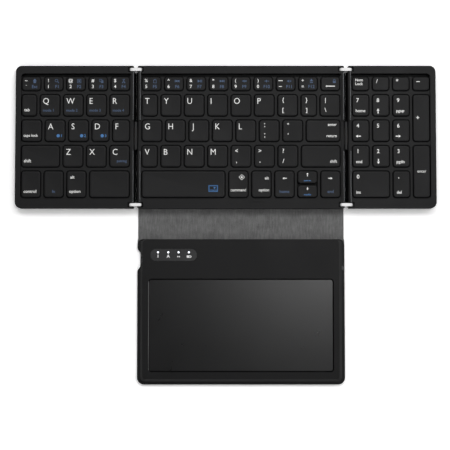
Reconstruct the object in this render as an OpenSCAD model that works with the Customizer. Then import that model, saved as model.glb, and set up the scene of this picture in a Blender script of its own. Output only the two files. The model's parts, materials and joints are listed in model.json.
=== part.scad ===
/* [Panels] */
// Width of the centre panel
centre_w = 149.6; // [149.6:0.2:156]
// Width of the left panel
left_w = 85.6; // [80:0.2:85.6]
// Width of the right panel
right_w = 63.6; // [57:0.2:63.6]
// Depth of every panel, front to rear
panel_d = 103.4; // [100:0.2:106]
// Thickness of a panel without the cover or feet under it
panel_t = 6.9; // [6.8:0.05:7.4]
// Corner radius at the outer ends of the keyboard
corner_r = 4.5; // [2:0.5:6]
// Corner radius beside the hinges
hinge_corner_r = 1.2; // [0.6:0.1:1.5]
// Width of the rim along the rear edge
rear_rim = 5.6; // [4.6:0.1:5.6]
// Width of the rim along the front edge
front_rim = 6.2; // [5:0.1:6.8]
// Width of the rim at the outer ends
outer_rim = 3.9; // [3:0.1:6]
// Width of the lip beside a hinge
hinge_lip = 1.9; // [1.7:0.1:2.1]
// Thickness of the bottom cover
base_t = 1; // [0.8:0.05:1.1]
// Thickness of the steel plate under the keys
plate_t = 0.4; // [0.3:0.05:0.5]
// Thickness of the switch membrane
membrane_t = 0.3; // [0.2:0.05:0.4]
// Depth of the key recess below the rim
recess_depth = 1.5; // [1.3:0.05:1.6]
// Thickness of the webs between the keys
web_t = 1.2; // [0.8:0.05:1.3]
// Length of a finger scoop in the centre panel's rim
scoop_l = 11.4; // [6:0.2:16]
// Width of a finger scoop
scoop_w = 3.2; // [2:0.1:3.4]
// Depth of a finger scoop
scoop_depth = 0.4; // [0.2:0.05:0.8]

/* [Hinges] */
// Height of the rim above the hinge pins
pin_drop = 2.35; // [2.3:0.05:2.6]
// Distance from a pin to the edge of its panel
pin_inset = 1.3; // [1.2:0.05:1.5]
// Gap between two panels that are folded face to face
fold_gap = 0.3; // [0.25:0.05:0.6]
// Radius along the top of a panel's hinge edge
lip_round = 1; // [0.9:0.05:1.2]
// Distance from a hinge link's middle to the front or rear edge
link_inset = 2.6; // [2.5:0.05:2.8]
// Width of a hinge link
link_w = 2.3; // [1.9:0.1:2.3]
// Radius of a hinge link's ends
link_r = 2.2; // [1.8:0.05:2.25]
// Radius of a hinge pin
pin_r = 0.6; // [0.45:0.05:0.65]
// Length of a pin that sits in the wall at each side of its link
pin_grip = 0.6; // [0.4:0.05:0.65]
// Radius of the cable guard between two panels
guard_r = 1; // [0.9:0.05:1]
// Length of the cable guard
guard_l = 21; // [18:0.5:30]
// Distance of the cable guard behind the panels' middle
guard_shift = 1; // [-8:0.5:8]
// Width of the flat cable
flex_w = 12; // [6:0.5:14]
// Thickness of the flat cable
flex_t = 0.2; // [0.15:0.05:0.2]

/* [Keys] */
// Gap between keys in a row
key_gap = 2.4; // [2:0.1:2.8]
// Gap between rows
row_gap = 2.7; // [2.2:0.1:3]
// Gap between the up and down keys
half_key_gap = 1; // [0.8:0.1:1.2]
// Distance from a hinge edge to the nearest key
hinge_margin = 3.2; // [3:0.1:4]
// Distance from the rear edge to the number row
rear_margin = 7.9; // [7.2:0.1:8.4]
// Distance from the front edge to the space row
front_margin = 7.7; // [7.6:0.1:8.8]
// Depth of the number row
number_row_d = 10.2; // [10:0.1:12]
// Depth of the space row
space_row_d = 19.4; // [19.2:0.1:21]
// Width of the narrow keys beside a hinge
narrow_w = 11.3; // [11:0.1:13]
// Width of the tab key
tab_w = 10.8; // [10.8:0.1:13]
// Width of the two home-row keys at the left panel's hinge
home_end_w = 12.45; // [11.5:0.05:14]
// Width of the left shift key
left_shift_w = 27.6; // [24:0.1:29]
// Width of the right shift key
right_shift_w = 28.1; // [24:0.1:30]
// Width of the enter key
enter_w = 24.55; // [22:0.05:28]
// Width of the left space key
left_space_w = 28.8; // [26:0.1:31]
// Width of the right space key
right_space_w = 60.2; // [50:0.1:64]
// Corner radius of a keycap
key_r = 2.2; // [1:0.1:2.6]
// Height of a keycap
cap_h = 2; // [1.8:0.05:2.1]
// Distance from the rim down to the keycaps
cap_drop = 0.5; // [0.35:0.05:0.6]
// Thickness of a keycap's skirt
skirt_t = 0.8; // [0.6:0.05:0.85]
// Thickness of a keycap's roof
cap_roof = 1; // [0.8:0.05:1.1]
// Inset of the raised face of a keycap
face_inset = 0.35; // [0.2:0.05:0.6]
// Height of the raised face of a keycap
face_h = 0.3; // [0.1:0.05:0.5]
// Width of a scissor support
scissor_w = 9; // [7.6:0.1:9]
// Length of the outer scissor frame
scissor_l = 7.2; // [6.8:0.1:7.2]
// Width of the scissor frames' bars
scissor_bar = 0.8; // [0.6:0.05:0.8]
// Thickness of the scissor frames
scissor_t = 0.7; // [0.5:0.05:0.75]
// Side from which a key stands on two supports
long_key = 20; // [19.5:0.1:22]
// Radius at the foot of a rubber dome
dome_r = 1.7; // [1.2:0.05:1.7]

/* [Cover] */
// Thickness of the cover sheet
cover_t = 0.7; // [0.6:0.05:0.9]
// Distance from the panel's side to the cover's edge
cover_inset = 0.5; // [0.3:0.1:1]
// Gap between the closed touchpad and the feet of the folded keyboard
stack_gap = 0.3; // [0.2:0.05:0.8]
// Width of a rubber foot
foot_w = 5; // [3:0.5:8]
// Distance from a foot to the panel's edges
foot_inset = 9; // [7:0.5:14]

/* [Touchpad module] */
// Thickness of the module, cover included
pad_h = 5.5; // [5.3:0.05:6.2]
// Distance by which the module is deeper than the keyboard
pad_extra_d = 1; // [0.4:0.1:3]
// Corner radius at the module's front
pad_r = 5; // [3.5:0.5:7]
// Corner radius at the module's rear
pad_rear_r = 4; // [1.5:0.5:5]
// Corner radius at the top frame's rear
frame_rear_r = 3; // [1.5:0.25:3.5]
// Width of the flange at the module's sides and front
pad_flange = 2.2; // [2.1:0.05:2.6]
// Thickness of the module's bottom
pad_base_t = 0.8; // [0.6:0.05:0.85]
// Height of the flange above the bottom
pad_step = 0.7; // [0.5:0.05:0.8]
// Width of the bevel round the top frame
bevel_w = 1.9; // [1.2:0.1:2.1]
// Height of the bevel round the top frame
bevel_h = 1.9; // [1.4:0.05:1.9]
// Thickness of the top frame's side walls
pad_wall = 2.3; // [2.2:0.05:2.8]
// Thickness of the top frame's roof
pad_roof = 0.7; // [0.7:0.01:0.72]
// Distance from the module's sides to the touch surface
touch_side = 8.95; // [8.7:0.05:18]
// Thickness of the touch surface
touch_t = 0.8; // [0.6:0.05:0.85]
// Depth of the touch surface below the frame
touch_drop = 0.4; // [0.2:0.05:0.45]
// Distance from the module's front edge to the touch surface
touch_margin = 9.9; // [8.5:0.1:12]
// Clearance round the touch surface
touch_clear = 0.3; // [0.1:0.05:0.4]
// Width of the slope round the touch surface
touch_slope = 0.6; // [0.2:0.05:0.8]
// Distance from the module's rear edge to the touch surface
touch_rear_margin = 29.4; // [28.5:0.1:40]
// Width of the ledge under the touch surface
ledge_w = 2; // [1:0.1:3]
// Thickness of the touch sensor board
sensor_t = 0.8; // [0.6:0.05:0.85]
// Width of the battery
battery_w = 90; // [50:1:110]
// Distance from the touch surface's front and rear edges to the battery
battery_margin = 9.55; // [8:0.05:16]
// Thickness of the battery
battery_t = 1.9; // [1.2:0.05:1.9]
// Thickness of the main board
board_t = 0.8; // [0.6:0.05:0.9]
// Depth of the main board
board_d = 24; // [22:0.5:25]
// Distance from the module's rear edge to the main board
board_margin = 3; // [2.5:0.1:3.5]
// Distance from the frame's side walls to the outer posts under the main board
post_inset = 10.2; // [9:0.1:20]
// Radius of a post under the main board
post_r = 1.4; // [1:0.1:1.6]
// Side of the main chip
chip_l = 9; // [5:0.5:10]
// Width of the ribbon from the main board to the touch sensor
ribbon_w = 20; // [10:1:40]
// Length of a closing magnet
magnet_l = 20; // [8:1:40]
// Width of a closing magnet
magnet_w = 3.2; // [2:0.1:3.4]
// Thickness of a closing magnet
magnet_t = 1.5; // [0.8:0.1:2]

/* [Window, socket and switch] */
// Distance from the module's left side to the window
window_side = 9.6; // [8.7:0.1:14]
// Length of the indicator window
window_l = 33.3; // [32:0.1:40]
// Depth of the indicator window
window_d = 8.4; // [7.6:0.1:9.5]
// Radius of the window's ends
window_r = 3.8; // [1:0.1:3.8]
// Distance from the module's rear edge to the window
window_margin = 7.3; // [6:0.1:9]
// Thickness of the indicator window
window_t = 0.4; // [0.3:0.05:0.45]
// Radius of an indicator light
light_r = 0.75; // [0.5:0.05:0.9]
// Distance between indicator lights
light_pitch = 7.45; // [6:0.05:7.6]
// Distance from the window's left end to the first light
light_start = 5.5; // [3:0.1:7]
// Distance from the module's rear edge to the socket's middle
socket_place = 14.7; // [14:0.05:18]
// Width of the socket's shell
socket_w = 8.94; // [8.94:0.01:9.1]
// Height of the socket's shell
socket_h = 3.16; // [3.1:0.01:3.18]
// Length of the socket's shell
socket_l = 7.3; // [6.5:0.1:9]
// Wall of the socket's shell
socket_wall = 0.3; // [0.2:0.05:0.3]
// Length of the notch in front of the socket
notch_l = 16.8; // [15:0.1:20]
// Length of each sloping end of the notch
notch_slope = 4; // [2:0.1:4.5]
// Depth of the notch in front of the socket
notch_depth = 2.1; // [1.4:0.1:2.1]
// Distance from the module's rear edge to the power switch's middle
switch_place = 21.8; // [12:0.1:22]
// Length of the power knob
knob_l = 2.8; // [2:0.1:3.6]
// Height of the power knob
knob_h = 1; // [0.7:0.05:1]
// Height of the power knob above the frame's side
knob_out = 1.6; // [0.8:0.1:1.9]
// Travel of the power knob
knob_travel = 2; // [1:0.1:3]

/* [Clearances] */
// Clearance round a key in its opening
key_clear = 0.45; // [0.35:0.05:0.5]
// Clearance at the end of a hinge link
link_end_clear = 0.3; // [0.2:0.05:0.3]
// Clearance at each side of a hinge link
link_side_clear = 0.25; // [0.15:0.05:0.3]
// Running clearance of a pin in a panel
pin_clear = 0.05; // [0.03:0.01:0.08]
// Clearance of a pin in its link
pin_seat = 0.02; // [0.01:0.01:0.04]
// Clearance between the cable guard and a panel that folds round it
guard_clear = 0.1; // [0.05:0.01:0.15]
// Clearance of the flat cable in its slots
flex_clear = 0.05; // [0.03:0.01:0.08]
// Clearance at each side of the flat cable
flex_side_clear = 0.3; // [0.1:0.05:0.5]
// Clearance between the panels and the cover that folds up beside them
fold_clear = 0.35; // [0.3:0.05:0.6]
// Gap between a cover sheet and the bead it folds on
sheet_gap = 0.3; // [0.2:0.05:0.5]
// Clearance between the lips that close a hinge gap from below
lip_clear = 0.2; // [0.15:0.05:0.4]
// Clearance round plates and boards inside a case
fit_clear = 0.15; // [0.1:0.05:0.25]
// Clearance round the touch surface and the window
trim_clear = 0.1; // [0.05:0.05:0.2]
// Clearance of the power knob in its slot
knob_clear = 0.1; // [0.05:0.01:0.15]

/* [Hidden] */
$fn = 48;
case_color = "#2b2b2c";
key_color = "#262627";
cover_color = "#5f5f61";
eps = 0.01;

// Heights of the layers of a panel
case_z = cover_t + base_t;
membrane_z = case_z + plate_t;
inside_z = membrane_z + membrane_t;
top_z = cover_t + panel_t;
web_top = top_z - recess_depth;
web_bottom = web_top - web_t;
cap_top = top_z - cap_drop;
cap_bottom = cap_top - cap_h;
ceiling_z = cap_top - cap_roof;

// Hinge geometry: two pins per link, so that a panel folds right over by 180 degrees
pin_z = top_z - pin_drop;
link_l = 2 * pin_drop + fold_gap;
hinge_gap = link_l - 2 * pin_inset;
gap_lip = (hinge_gap - lip_clear) / 2;
link_y = panel_d / 2 - link_inset;
slot_w = link_w + 2 * link_side_clear;
slot_reach = link_r + link_end_clear;
bore_r = pin_r + pin_clear;
notch_r = link_l / 2 - guard_r - guard_clear;
flex_z = web_bottom - 2 * flex_clear - flex_t / 2;

// Panels as [left edge, right edge, left edge is an outer end, right edge is an outer end]
half_w = centre_w / 2;
left_panel = [-half_w - hinge_gap - left_w, -half_w - hinge_gap, true, false];
centre_panel = [-half_w, half_w, false, false];
right_panel = [half_w + hinge_gap, half_w + hinge_gap + right_w, false, true];
left_gap_x = -half_w - hinge_gap / 2;
right_gap_x = half_w + hinge_gap / 2;

// The spine is as high as the folded keyboard that it closes round
axis_z = cover_t / 2;
near_axis_y = -panel_d / 2 - axis_z - fold_clear;
feet_top = 2 * pin_z + link_l;
spine_l = feet_top + stack_gap + pad_h - cover_t;
far_axis_y = near_axis_y - spine_l;
sheet_end = axis_z + sheet_gap;

// Touchpad module
pad_w = centre_w - 2 * 0.1;
pad_d = panel_d + pad_extra_d;
pad_rear = far_axis_y - axis_z - fold_clear;
pad_front = pad_rear - pad_d;
pad_inside_z = cover_t + pad_base_t;
frame_z = pad_inside_z + pad_step;
roof_z = pad_h - pad_roof;
frame_half = pad_w / 2 - pad_flange;
frame_front = pad_front + pad_flange;
frame_rear = pad_rear - 0.4;
frame_inside = frame_half - pad_wall;
ledge_z = pad_h - touch_drop - touch_t;
sensor_z = ledge_z - sensor_t;
touch_front = pad_front + touch_margin;
touch_d = pad_d - touch_margin - touch_rear_margin;
touch_w = pad_w - 2 * touch_side;
window_left = -pad_w / 2 + window_side;
window_rear = pad_rear - window_margin;
light_y = window_rear - 2.6;
socket_y = pad_rear - socket_place;
socket_x = -frame_half + 1.1;
socket_z = pad_inside_z + 0.05 + socket_h / 2;
board_z = pad_inside_z + 0.9;
board_rear = pad_rear - board_margin;
board_front = board_rear - board_d;
knob_z = frame_z + 0.3 + knob_h / 2;
knob_y = pad_rear - switch_place + knob_travel / 2;

// Key rows: a width of 0 takes an equal share of what the stated widths leave
function total(v, n) = n == 0 ? 0 : v[n - 1] + total(v, n - 1);
function snap(x) = round(x * 100) / 100;
function shares(v, span, gap) =
    let (free = len([for (s = v) if (s == 0) s]))
    let (rest = span - total(v, len(v)) - gap * (len(v) - 1))
    [for (s = v) s == 0 ? rest / free : s];
row_d = shares([number_row_d, 0, 0, 0, space_row_d], panel_d - rear_margin - front_margin, row_gap);
function row_y(row) = snap(panel_d / 2 - rear_margin - total(row_d, row + 1) - row * row_gap);
function side_margin(outer) = outer ? outer_rim + key_clear : hinge_margin;
function field_left(panel) = panel[0] + side_margin(panel[2]);
function field_w(panel) = panel[1] - side_margin(panel[3]) - field_left(panel);

// A key is [left, front, width, depth], to a hundredth of a millimetre
function key_row(panel, row, widths) =
    let (w = shares(widths, field_w(panel), key_gap))
    let (x = field_left(panel), y = row_y(row), d = snap(row_d[row]))
    [for (i = [0:len(w) - 1]) [snap(x + total(w, i) + i * key_gap), y, snap(w[i]), d]];
function joined(a, b) =
    let (x = min(a[0], b[0]), y = min(a[1], b[1]))
    [x, y, max(a[0] + a[2], b[0] + b[2]) - x, max(a[1] + a[3], b[1] + b[3]) - y];
function half_key(k, upper) =
    let (d = (k[3] - half_key_gap) / 2)
    [k[0], k[1] + (upper ? d + half_key_gap : 0), k[2], d];
function part(keys, first, last) = [for (i = [first:last]) keys[i]];

left_1 = key_row(left_panel, 0, [0, 0, 0, 0, 0]);
left_2 = key_row(left_panel, 1, [tab_w, 0, 0, 0, 0]);
left_3 = key_row(left_panel, 2, [0, 0, 0, home_end_w, home_end_w]);
left_4 = key_row(left_panel, 3, [left_shift_w, 0, 0, 0]);
left_5 = key_row(left_panel, 4, [0, 0, 0, left_space_w]);
centre_1 = key_row(centre_panel, 0, [0, 0, 0, 0, 0, 0, 0, 0, 0]);
centre_2 = key_row(centre_panel, 1, [narrow_w, 0, 0, 0, 0, 0, 0, narrow_w, 0]);
centre_3 = key_row(centre_panel, 2, [0, 0, 0, 0, 0, 0, 0, enter_w]);
centre_4 = key_row(centre_panel, 3, [narrow_w, 0, 0, 0, 0, 0, 0, right_shift_w]);
centre_5 = key_row(centre_panel, 4, [right_space_w, 0, 0, 0, 0, 0]);
numpad = [for (row = [0:4]) key_row(right_panel, row, [0, 0, 0, 0])];
arrow_cell = centre_5[4];
arrows = [centre_5[3], half_key(arrow_cell, true), half_key(arrow_cell, false), centre_5[5]];
numpad_digits = concat(
    part(numpad[1], 0, 2), part(numpad[2], 0, 2), part(numpad[3], 0, 2),
    [joined(numpad[4][0], numpad[4][1]), numpad[4][2]]
);
numpad_plus = joined(numpad[1][3], numpad[2][3]);
numpad_enter = joined(numpad[3][3], numpad[4][3]);
left_keys = concat(left_1, left_2, left_3, left_4, left_5);
centre_cells = concat(centre_1, centre_2, centre_3, centre_4, centre_5);
centre_keys = concat(centre_1, centre_2, centre_3, centre_4, part(centre_5, 0, 2), arrows);
right_keys = concat(numpad[0], numpad_digits, [numpad_plus, numpad_enter]);

// Rectangle with corner radii in the order front left, front right, rear right, rear left
module outline(lo, hi, r) {
    corners = [
        [lo.x + r[0], lo.y + r[0]], [hi.x - r[1], lo.y + r[1]],
        [hi.x - r[2], hi.y - r[2]], [lo.x + r[3], hi.y - r[3]]
    ];
    polygon([
        [lo.x + r[0], lo.y], [hi.x - r[1], lo.y], [hi.x, lo.y + r[1]], [hi.x, hi.y - r[2]],
        [hi.x - r[2], hi.y], [lo.x + r[3], hi.y], [lo.x, hi.y - r[3]], [lo.x, lo.y + r[0]]
    ]);
    for (i = [0:3]) translate(corners[i]) circle(r[i]);
}

module plate(z, t) {
    translate([0, 0, z]) linear_extrude(t) children();
}

// Cylinder along Y
module rod_y(r, l) {
    rotate([90, 0, 0]) cylinder(r = r, h = l, center = true);
}

module panel_outline(panel) {
    l = panel[2] ? corner_r : hinge_corner_r;
    r = panel[3] ? corner_r : hinge_corner_r;
    outline([panel[0], -panel_d / 2], [panel[1], panel_d / 2], [l, r, r, l]);
}

module recess_outline(panel, clear) {
    l = panel[2] ? key_r + key_clear : hinge_corner_r;
    r = panel[3] ? key_r + key_clear : hinge_corner_r;
    x0 = panel[0] + (panel[2] ? outer_rim : hinge_lip) + clear;
    x1 = panel[1] - (panel[3] ? outer_rim : hinge_lip) - clear;
    outline([x0, -panel_d / 2 + front_rim + clear], [x1, panel_d / 2 - rear_rim - clear], [l, r, r, l]);
}

module key_outline(key, grow) {
    r = key_r + grow;
    outline([key[0] - grow, key[1] - grow], [key[0] + key[2] + grow, key[1] + key[3] + grow], [r, r, r, r]);
}

// What a hinge takes out of a top case whose edge is at x; inward is 1 or -1
module hinge_cuts(x, inward) {
    translate([x + inward * pin_inset, 0, pin_z]) {
        lip_cut(inward);
        link_slots(inward);
        guard_notch(inward);
        flex_slot(inward);
    }
}

// Square block from the edge's outside to a reach inward of the pins
module edge_block(inward, reach, y, w, z0, z1) {
    out = pin_inset + 1;
    translate([inward > 0 ? -out : -reach, y - w / 2, z0]) cube([out + reach, w, z1 - z0]);
}

module lip_cut(inward) {
    x = inward * (lip_round - pin_inset);
    difference() {
        edge_block(inward, lip_round - pin_inset, 0, panel_d + 2, pin_drop - lip_round, pin_drop + 1);
        translate([x, 0, pin_drop - lip_round]) rod_y(lip_round, panel_d + 4);
    }
}

module link_slots(inward) {
    for (y = [-link_y, link_y]) {
        edge_block(inward, slot_reach, y, slot_w, -slot_reach, pin_drop + 1);
        translate([0, y, 0]) rod_y(bore_r, slot_w + 2 * (pin_grip + pin_clear));
    }
}

module guard_notch(inward) {
    w = guard_l + 2 * guard_clear + 1;
    inside = guard_r + 2 * guard_clear;
    difference() {
        edge_block(inward, inside, guard_shift, w, 0, pin_drop + 1);
        translate([0, guard_shift, 0]) rod_y(notch_r, w + 2);
        translate([inward > 0 ? 0 : -inside - 1, guard_shift - w / 2 - 1, -1])
            cube([inside + 1, w + 2, notch_r + 1]);
    }
}

module flex_slot(inward) {
    z = flex_z - pin_z;
    h = flex_t / 2 + flex_clear;
    edge_block(inward, hinge_lip - pin_inset + 1, guard_shift, flex_w + 2 * flex_side_clear, z - h, z + h);
}

module rim_ring(panel) {
    difference() {
        panel_outline(panel);
        recess_outline(panel, 0);
    }
}

// Open trench between the number row and the rear wall of the recess
module rear_trench(panel) {
    x0 = field_left(panel) - key_clear;
    y0 = panel_d / 2 - rear_margin;
    intersection() {
        recess_outline(panel, 0);
        translate([x0, y0]) square([field_w(panel) + 2 * key_clear, rear_margin]);
    }
}

// Case top in three layers: walls, webs between the keys, and the rim round the recess
module top_case(panel, cells) {
    color(case_color) difference() {
        union() {
            plate(case_z, web_bottom - case_z) rim_ring(panel);
            plate(web_bottom, web_t) difference() {
                panel_outline(panel);
                for (cell = cells) key_outline(cell, key_clear);
                rear_trench(panel);
            }
            plate(web_top, recess_depth) rim_ring(panel);
        }
        if (!panel[2]) hinge_cuts(panel[0], 1);
        if (!panel[3]) hinge_cuts(panel[1], -1);
        children();
    }
}

// Cover of a panel's underside, with a lip under each hinge gap beside it
module bottom_cover(panel) {
    color(case_color) plate(cover_t, base_t) {
        panel_outline(panel);
        if (!panel[2]) cover_lip(panel[0] - gap_lip);
        if (!panel[3]) cover_lip(panel[1] - 1);
    }
}

module cover_lip(x) {
    l = 2 * (link_y - slot_w);
    translate([x, -l / 2]) square([gap_lip + 1, l]);
}

module support_plate(panel) {
    color("#8a8c8f") plate(case_z, plate_t) recess_outline(panel, fit_clear);
}

module membrane(panel) {
    color("#9fb3a8") plate(membrane_z, membrane_t) recess_outline(panel, fit_clear);
}

// Scissor frame that is tilted about X, and the window inside it
module scissor_frame(w, l, tilt) {
    rotate([tilt, 0, 0]) difference() {
        cube([w, l, scissor_t], center = true);
        cube([w - 2 * scissor_bar, l - 2 * scissor_bar, 1], center = true);
    }
}

// Places of a key's scissor supports: two on a key that is long in either direction
function supports(key) =
    let (x = key[2] > long_key ? key[2] / 4 : 0, y = key[3] > long_key ? key[3] / 4 : 0)
    x + y > 0 ? [[-x, -y], [x, y]] : [[0, 0]];

module key_switches(keys) {
    space = ceiling_z - inside_z;
    rise = space - 0.5 - scissor_t;
    tilt = asin(rise / scissor_l);
    inner_w = scissor_w - 2 * scissor_bar - 0.4;
    inner_l = scissor_l - 2 * scissor_bar - 0.2;
    for (key = keys) translate([key[0] + key[2] / 2, key[1] + key[3] / 2, inside_z]) {
        color("#d8d8d4") for (p = supports(key)) translate([p[0], p[1], space / 2]) {
            scissor_frame(scissor_w, scissor_l, tilt);
            scissor_frame(inner_w, inner_l, -tilt);
        }
        color("#c9c6bd") cylinder(r1 = dome_r, r2 = dome_r - 0.6, h = space - 0.1);
    }
}

// Hollow keycap with a slightly raised face
module keycap(key) {
    color(key_color) difference() {
        union() {
            plate(cap_bottom, cap_h - face_h) key_outline(key, 0);
            plate(cap_top - face_h - eps, face_h + eps) key_outline(key, -face_inset);
        }
        plate(cap_bottom - 1, ceiling_z - cap_bottom + 1) key_outline(key, -skirt_t);
    }
}

module keycaps(keys) {
    for (key = keys) keycap(key);
}

// Link with rounded ends, seen from the side and from above
module hinge_link(x, y) {
    half = link_l / 2;
    r = link_r - eps;
    translate([x, y, pin_z]) difference() {
        intersection() {
            rotate([90, 0, 0]) linear_extrude(link_w, center = true)
                outline([-half - link_r, -link_r], [half + link_r, link_r], [r, r, r, r]);
            plate(-link_r - 1, 2 * link_r + 2)
                outline([-half - link_r, -link_w / 2], [half + link_r, link_w / 2], [1, 1, 1, 1]);
        }
        for (s = [-half, half]) translate([s, 0, 0]) rod_y(pin_r + pin_seat, link_w + 1);
    }
}

module hinge_links(x) {
    color("#d5d6d8") for (y = [-link_y, link_y]) hinge_link(x, y);
}

module hinge_pins(x) {
    color("#b9babd") for (y = [-link_y, link_y], s = [-link_l / 2, link_l / 2])
        translate([x + s, y, pin_z]) rod_y(pin_r, slot_w + 2 * pin_grip);
}

// Bar with round ends that shields the flat cable between two panels
module cable_guard(x) {
    h = guard_l / 2 - guard_r;
    color("#1d1d1e") difference() {
        translate([x, guard_shift, pin_z]) rotate([90, 0, 0]) rotate_extrude() intersection() {
            union() {
                translate([-guard_r, -h]) square([2 * guard_r, 2 * h]);
                translate([0, h]) circle(guard_r);
                translate([0, -h]) circle(guard_r);
            }
            translate([0, -guard_l]) square([2 * guard_r, 2 * guard_l]);
        }
        translate([x - 2, guard_shift - flex_w / 2 - flex_side_clear, flex_z - flex_t / 2 - flex_clear])
            cube([4, flex_w + 2 * flex_side_clear, flex_t + 2 * flex_clear]);
    }
}
// Flat cable: through the guard and both case walls, then down onto each membrane
module flex_cable(x) {
    leg = hinge_gap / 2 + hinge_lip + fit_clear + flex_t / 2;
    tail = hinge_gap / 2 + 4.3;
    y = guard_shift - flex_w / 2;
    color("#b8860b") translate([x, y, 0]) {
        translate([-leg - flex_t / 2, 0, flex_z - flex_t / 2]) cube([2 * leg + flex_t, flex_w, flex_t]);
        for (side = [-1, 1]) {
            translate([side * leg - flex_t / 2, 0, inside_z]) cube([flex_t, flex_w, flex_z - inside_z]);
            translate([side > 0 ? leg - flex_t / 2 : -tail, 0, inside_z])
                cube([tail - leg + flex_t / 2, flex_w, flex_t]);
        }
    }
}

module feet(panel) {
    x0 = panel[0] + foot_inset;
    x1 = panel[1] - foot_inset;
    r = foot_w / 2 - eps;
    color("#1a1a1a") for (y = [-panel_d / 2 + foot_inset, panel_d / 2 - foot_inset - foot_w])
        plate(0, cover_t) outline([x0, y], [x1, y + foot_w], [r, r, r, r]);
}

module cover_back() {
    x = half_w - cover_inset;
    r = hinge_corner_r;
    color(cover_color) plate(0, cover_t)
        outline([-x, near_axis_y + sheet_end], [x, panel_d / 2 - cover_inset], [0.5, 0.5, r, r]);
}

// Sheet between the two folds, with a half-round bead on each fold line
module cover_spine() {
    x = half_w - cover_inset;
    color(cover_color) translate([-x, 0, 0]) rotate([90, 0, 90]) linear_extrude(2 * x) {
        translate([far_axis_y, 0]) square([spine_l, cover_t]);
        for (y = [near_axis_y, far_axis_y]) translate([y, axis_z]) circle(axis_z);
    }
}

module centre_top_case() {
    meet_x = (left_w - right_w) / 2;
    top_case(centre_panel, centre_cells)
        for (y = [-panel_d / 2 + front_rim / 2, panel_d / 2 - rear_rim / 2])
            plate(top_z - scoop_depth, 1) translate([meet_x, y])
                outline([-scoop_l / 2, -scoop_w / 2], [scoop_l / 2, scoop_w / 2], [0.9, 0.9, 0.9, 0.9]);
}

// Outline of the module, with the notch that lets a plug reach the socket
module pad_outline(rear, r) {
    difference() {
        outline([-pad_w / 2, pad_front], [pad_w / 2, rear], [pad_r, pad_r, r, r]);
        notch_outline();
    }
}

// Sloping ends follow a half wave, in eight steps
function notch_x(i) = -pad_w / 2 + notch_depth * (1 - cos(i * 22.5)) / 2;

module notch_outline() {
    front = socket_y - notch_l / 2;
    rear = socket_y + notch_l / 2;
    polygon(concat(
        [[-pad_w / 2 - 1, front]],
        [for (i = [0:8]) [notch_x(i), front + notch_slope * i / 8]],
        [for (i = [8:-1:0]) [notch_x(i), rear - notch_slope * i / 8]],
        [[-pad_w / 2 - 1, rear]]
    ));
}

module pad_cover() {
    color(cover_color) plate(0, cover_t) pad_outline(far_axis_y - sheet_end, 0.5);
}

module frame_inside_outline() {
    r = pad_r - pad_flange - 0.5;
    outline([-frame_inside, frame_front + pad_wall], [frame_inside, frame_rear - 1.2], [r, r, 1, 1]);
}

// Opening for the socket, through the left walls
module socket_opening() {
    at_socket(-pad_w / 2 - 1, pad_flange + pad_wall + 2) socket_outline(trim_clear);
}

module pad_bottom_shell() {
    post_x = frame_inside - post_inset;
    post_h = board_z - pad_inside_z + eps;
    color(case_color) {
        plate(cover_t, pad_base_t) pad_outline(pad_rear, pad_rear_r);
        difference() {
            plate(pad_inside_z - eps, pad_step + eps) difference() {
                pad_outline(pad_rear, pad_rear_r);
                frame_inside_outline();
            }
            socket_opening();
        }
        for (x = [-post_x, 0, post_x], y = [board_rear - post_r - 0.6, board_front + post_r + 0.6])
            translate([x, y, pad_inside_z - eps]) cylinder(r = post_r, h = post_h);
    }
}

// Bevelled block of the top frame; the rear edge has no bevel
module frame_block() {
    r = pad_r - pad_flange + 0.4;
    face_half = frame_half - bevel_w;
    face_front = frame_front + bevel_w;
    f = r - 1;
    q = frame_rear_r;
    hull() {
        plate(frame_z, pad_h - bevel_h - frame_z)
            outline([-frame_half, frame_front], [frame_half, frame_rear], [r, r, q, q], $fn = 32);
        plate(pad_h - 0.1, 0.1)
            outline([-face_half, face_front], [face_half, frame_rear], [f, f, q, q], $fn = 32);
    }
}

module touch_outline(grow) {
    r = 1.5 + max(grow, -1);
    half = touch_w / 2 + grow;
    outline([-half, touch_front - grow], [half, touch_front + touch_d + grow], [r, r, r, r]);
}

module socket_outline(grow) {
    half = [socket_w / 2 + grow, socket_h / 2 + grow];
    r = half.y - eps;
    outline(-half, half, [r, r, r, r]);
}

// Turns an outline drawn in the plane so that it faces along X at the socket
module at_socket(x0, l) {
    translate([x0, socket_y, socket_z]) rotate([90, 0, 90]) linear_extrude(l) children();
}

module window_outline(grow) {
    lo = [window_left, window_rear - window_d];
    hi = [window_left + window_l, window_rear];
    r = window_r;
    outline(lo - [grow, grow], hi + [grow, grow], [r, r, r, r]);
}

function light_x(i) = window_left + light_start + i * light_pitch;

module pad_top_frame() {
    color(case_color) difference() {
        frame_block();
        plate(frame_z - 1, roof_z - frame_z + 1) difference() {
            frame_inside_outline();
            difference() {
                touch_outline(1.2);
                touch_outline(-ledge_w);
            }
        }
        plate(frame_z - 1, sensor_z - frame_z + 1) frame_inside_outline();
        plate(frame_z, pad_h) touch_outline(-ledge_w);
        plate(ledge_z, pad_h) touch_outline(touch_clear);
        hull() {
            plate(ledge_z + touch_t, eps) touch_outline(touch_clear);
            plate(pad_h, eps) touch_outline(touch_clear + touch_slope);
        }
        plate(pad_h - window_t, 1) window_outline(trim_clear);
        for (i = [0:3]) translate([light_x(i), light_y, frame_z]) cylinder(r = light_r, h = pad_h);
        socket_opening();
        knob_slot();
    }
}

module knob_slot() {
    l = knob_l + knob_travel + 2 * knob_clear;
    h = knob_h + 2 * knob_clear;
    y = knob_y - knob_travel / 2 - l / 2;
    translate([frame_inside - 1, y, knob_z - h / 2]) cube([pad_wall + 3, l, h]);
}

module touch_surface() {
    color("#333334") plate(ledge_z, touch_t) touch_outline(0);
}

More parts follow.
